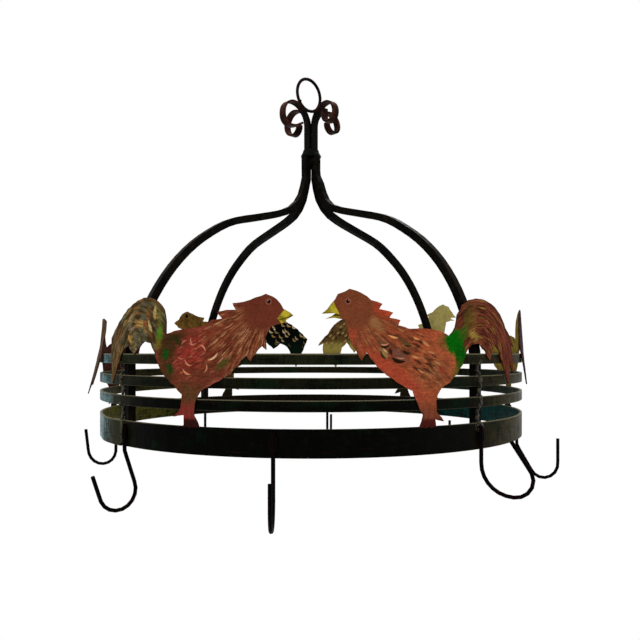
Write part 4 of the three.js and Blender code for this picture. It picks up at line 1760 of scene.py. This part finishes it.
@dataclass
class Studio:
    """Camera, pale floor, lamps and world."""

    camera_distance: float = 0.82875
    lens: float = 37.52
    shift_x: float = 0.0141
    shift_y: float = 0.0523
    floor_drop: float = 1.3
    floor_size: float = 3.2
    floor_tint: Tint = Tint(250, 250, 250)
    world_level: float = 0.5
    lamps: Sequence[Lamp] = (
        Lamp("key lamp", azimuth=-30, elevation=35, power=26),
        Lamp("fill lamp", azimuth=60, elevation=10, power=13),
        Lamp("back lamp", azimuth=170, elevation=40, power=14),
    )

    def build(self, rack: RackPlace) -> None:
        """Sets up the studio.

        Args:
            rack: where the rack is.
        """
        self._camera(rack)
        self._floor(rack)
        self._world()
        for lamp in self.lamps:
            lamp.build(rack)
        bpy.context.scene.view_settings.view_transform = "Standard"
        LOG.info("studio built with %d lamps", len(self.lamps))

    def _camera(self, rack: RackPlace) -> None:
        """Places the camera level with the top hoop, in front of the rack.

        Args:
            rack: where the rack is.
        """
        data = bpy.data.cameras.new("camera")
        data.lens = self.lens
        data.sensor_width = 36.0
        data.shift_x = self.shift_x
        data.shift_y = self.shift_y
        data.clip_start = 0.01
        camera = bpy.data.objects.new("camera", data)
        camera.location = (rack.x, rack.y - self.camera_distance, rack.top)
        camera.rotation_euler = (math.pi / 2, 0.0, 0.0)
        bpy.context.scene.collection.objects.link(camera)
        bpy.context.scene.camera = camera

    def _floor(self, rack: RackPlace) -> None:
        """Lays the pale floor well below the hanging rack.

        Args:
            rack: where the rack is.
        """
        half = self.floor_size / 2
        corners = [(-half, -half, 0), (half, -half, 0), (half, half, 0), (-half, half, 0)]
        mesh = bpy.data.meshes.new("floor")
        mesh.from_pydata(corners, [], [(0, 1, 2, 3)])
        floor = bpy.data.objects.new("floor", mesh)
        floor.location = (rack.x, rack.y, rack.top - self.floor_drop)
        bpy.context.scene.collection.objects.link(floor)
        wear(floor, Shader("floor").finish(self.floor_tint, roughness=0.9, shine=0.0))

    def _world(self) -> None:
        """Lights from all round at a plain level, and shows white behind the rack."""
        world = bpy.data.worlds.new("studio")
        bpy.context.scene.world = world
        world.use_nodes = True
        graph = Graph(world.node_tree)
        path = graph.node("ShaderNodeLightPath").outputs
        rays = ("Is Camera Ray", "Is Glossy Ray", "Is Transmission Ray")
        seen, glossy, through = (Number(graph, path[ray]) for ray in rays)
        level = seen.most(glossy).most(through).scaled(0, 1, self.world_level, 1)
        white = (1.0, 1.0, 1.0, 1.0)
        light = graph.node("ShaderNodeBackground", inputs={"Color": white, "Strength": level})
        graph.node("ShaderNodeOutputWorld", inputs={"Surface": light.outputs[0]})


def main() -> None:
    """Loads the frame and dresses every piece."""
    logging.basicConfig(level=logging.INFO, format="%(name)s: %(message)s")
    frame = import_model()
    nodes = frame["nodes"]
    rack = RackPlace.measured()
    hoops = Hoops()
    hoops.dress(rack, nodes)
    Bars().dress(rack, nodes)
    Crown().dress(rack, nodes)
    Welds().build(rack, hoops.spans(rack))
    Hooks().dress(rack, nodes)
    Flock().dress(rack, nodes)
    Studio().build(rack)
    LOG.info("sizes written")


if __name__ == "__main__":
    main()
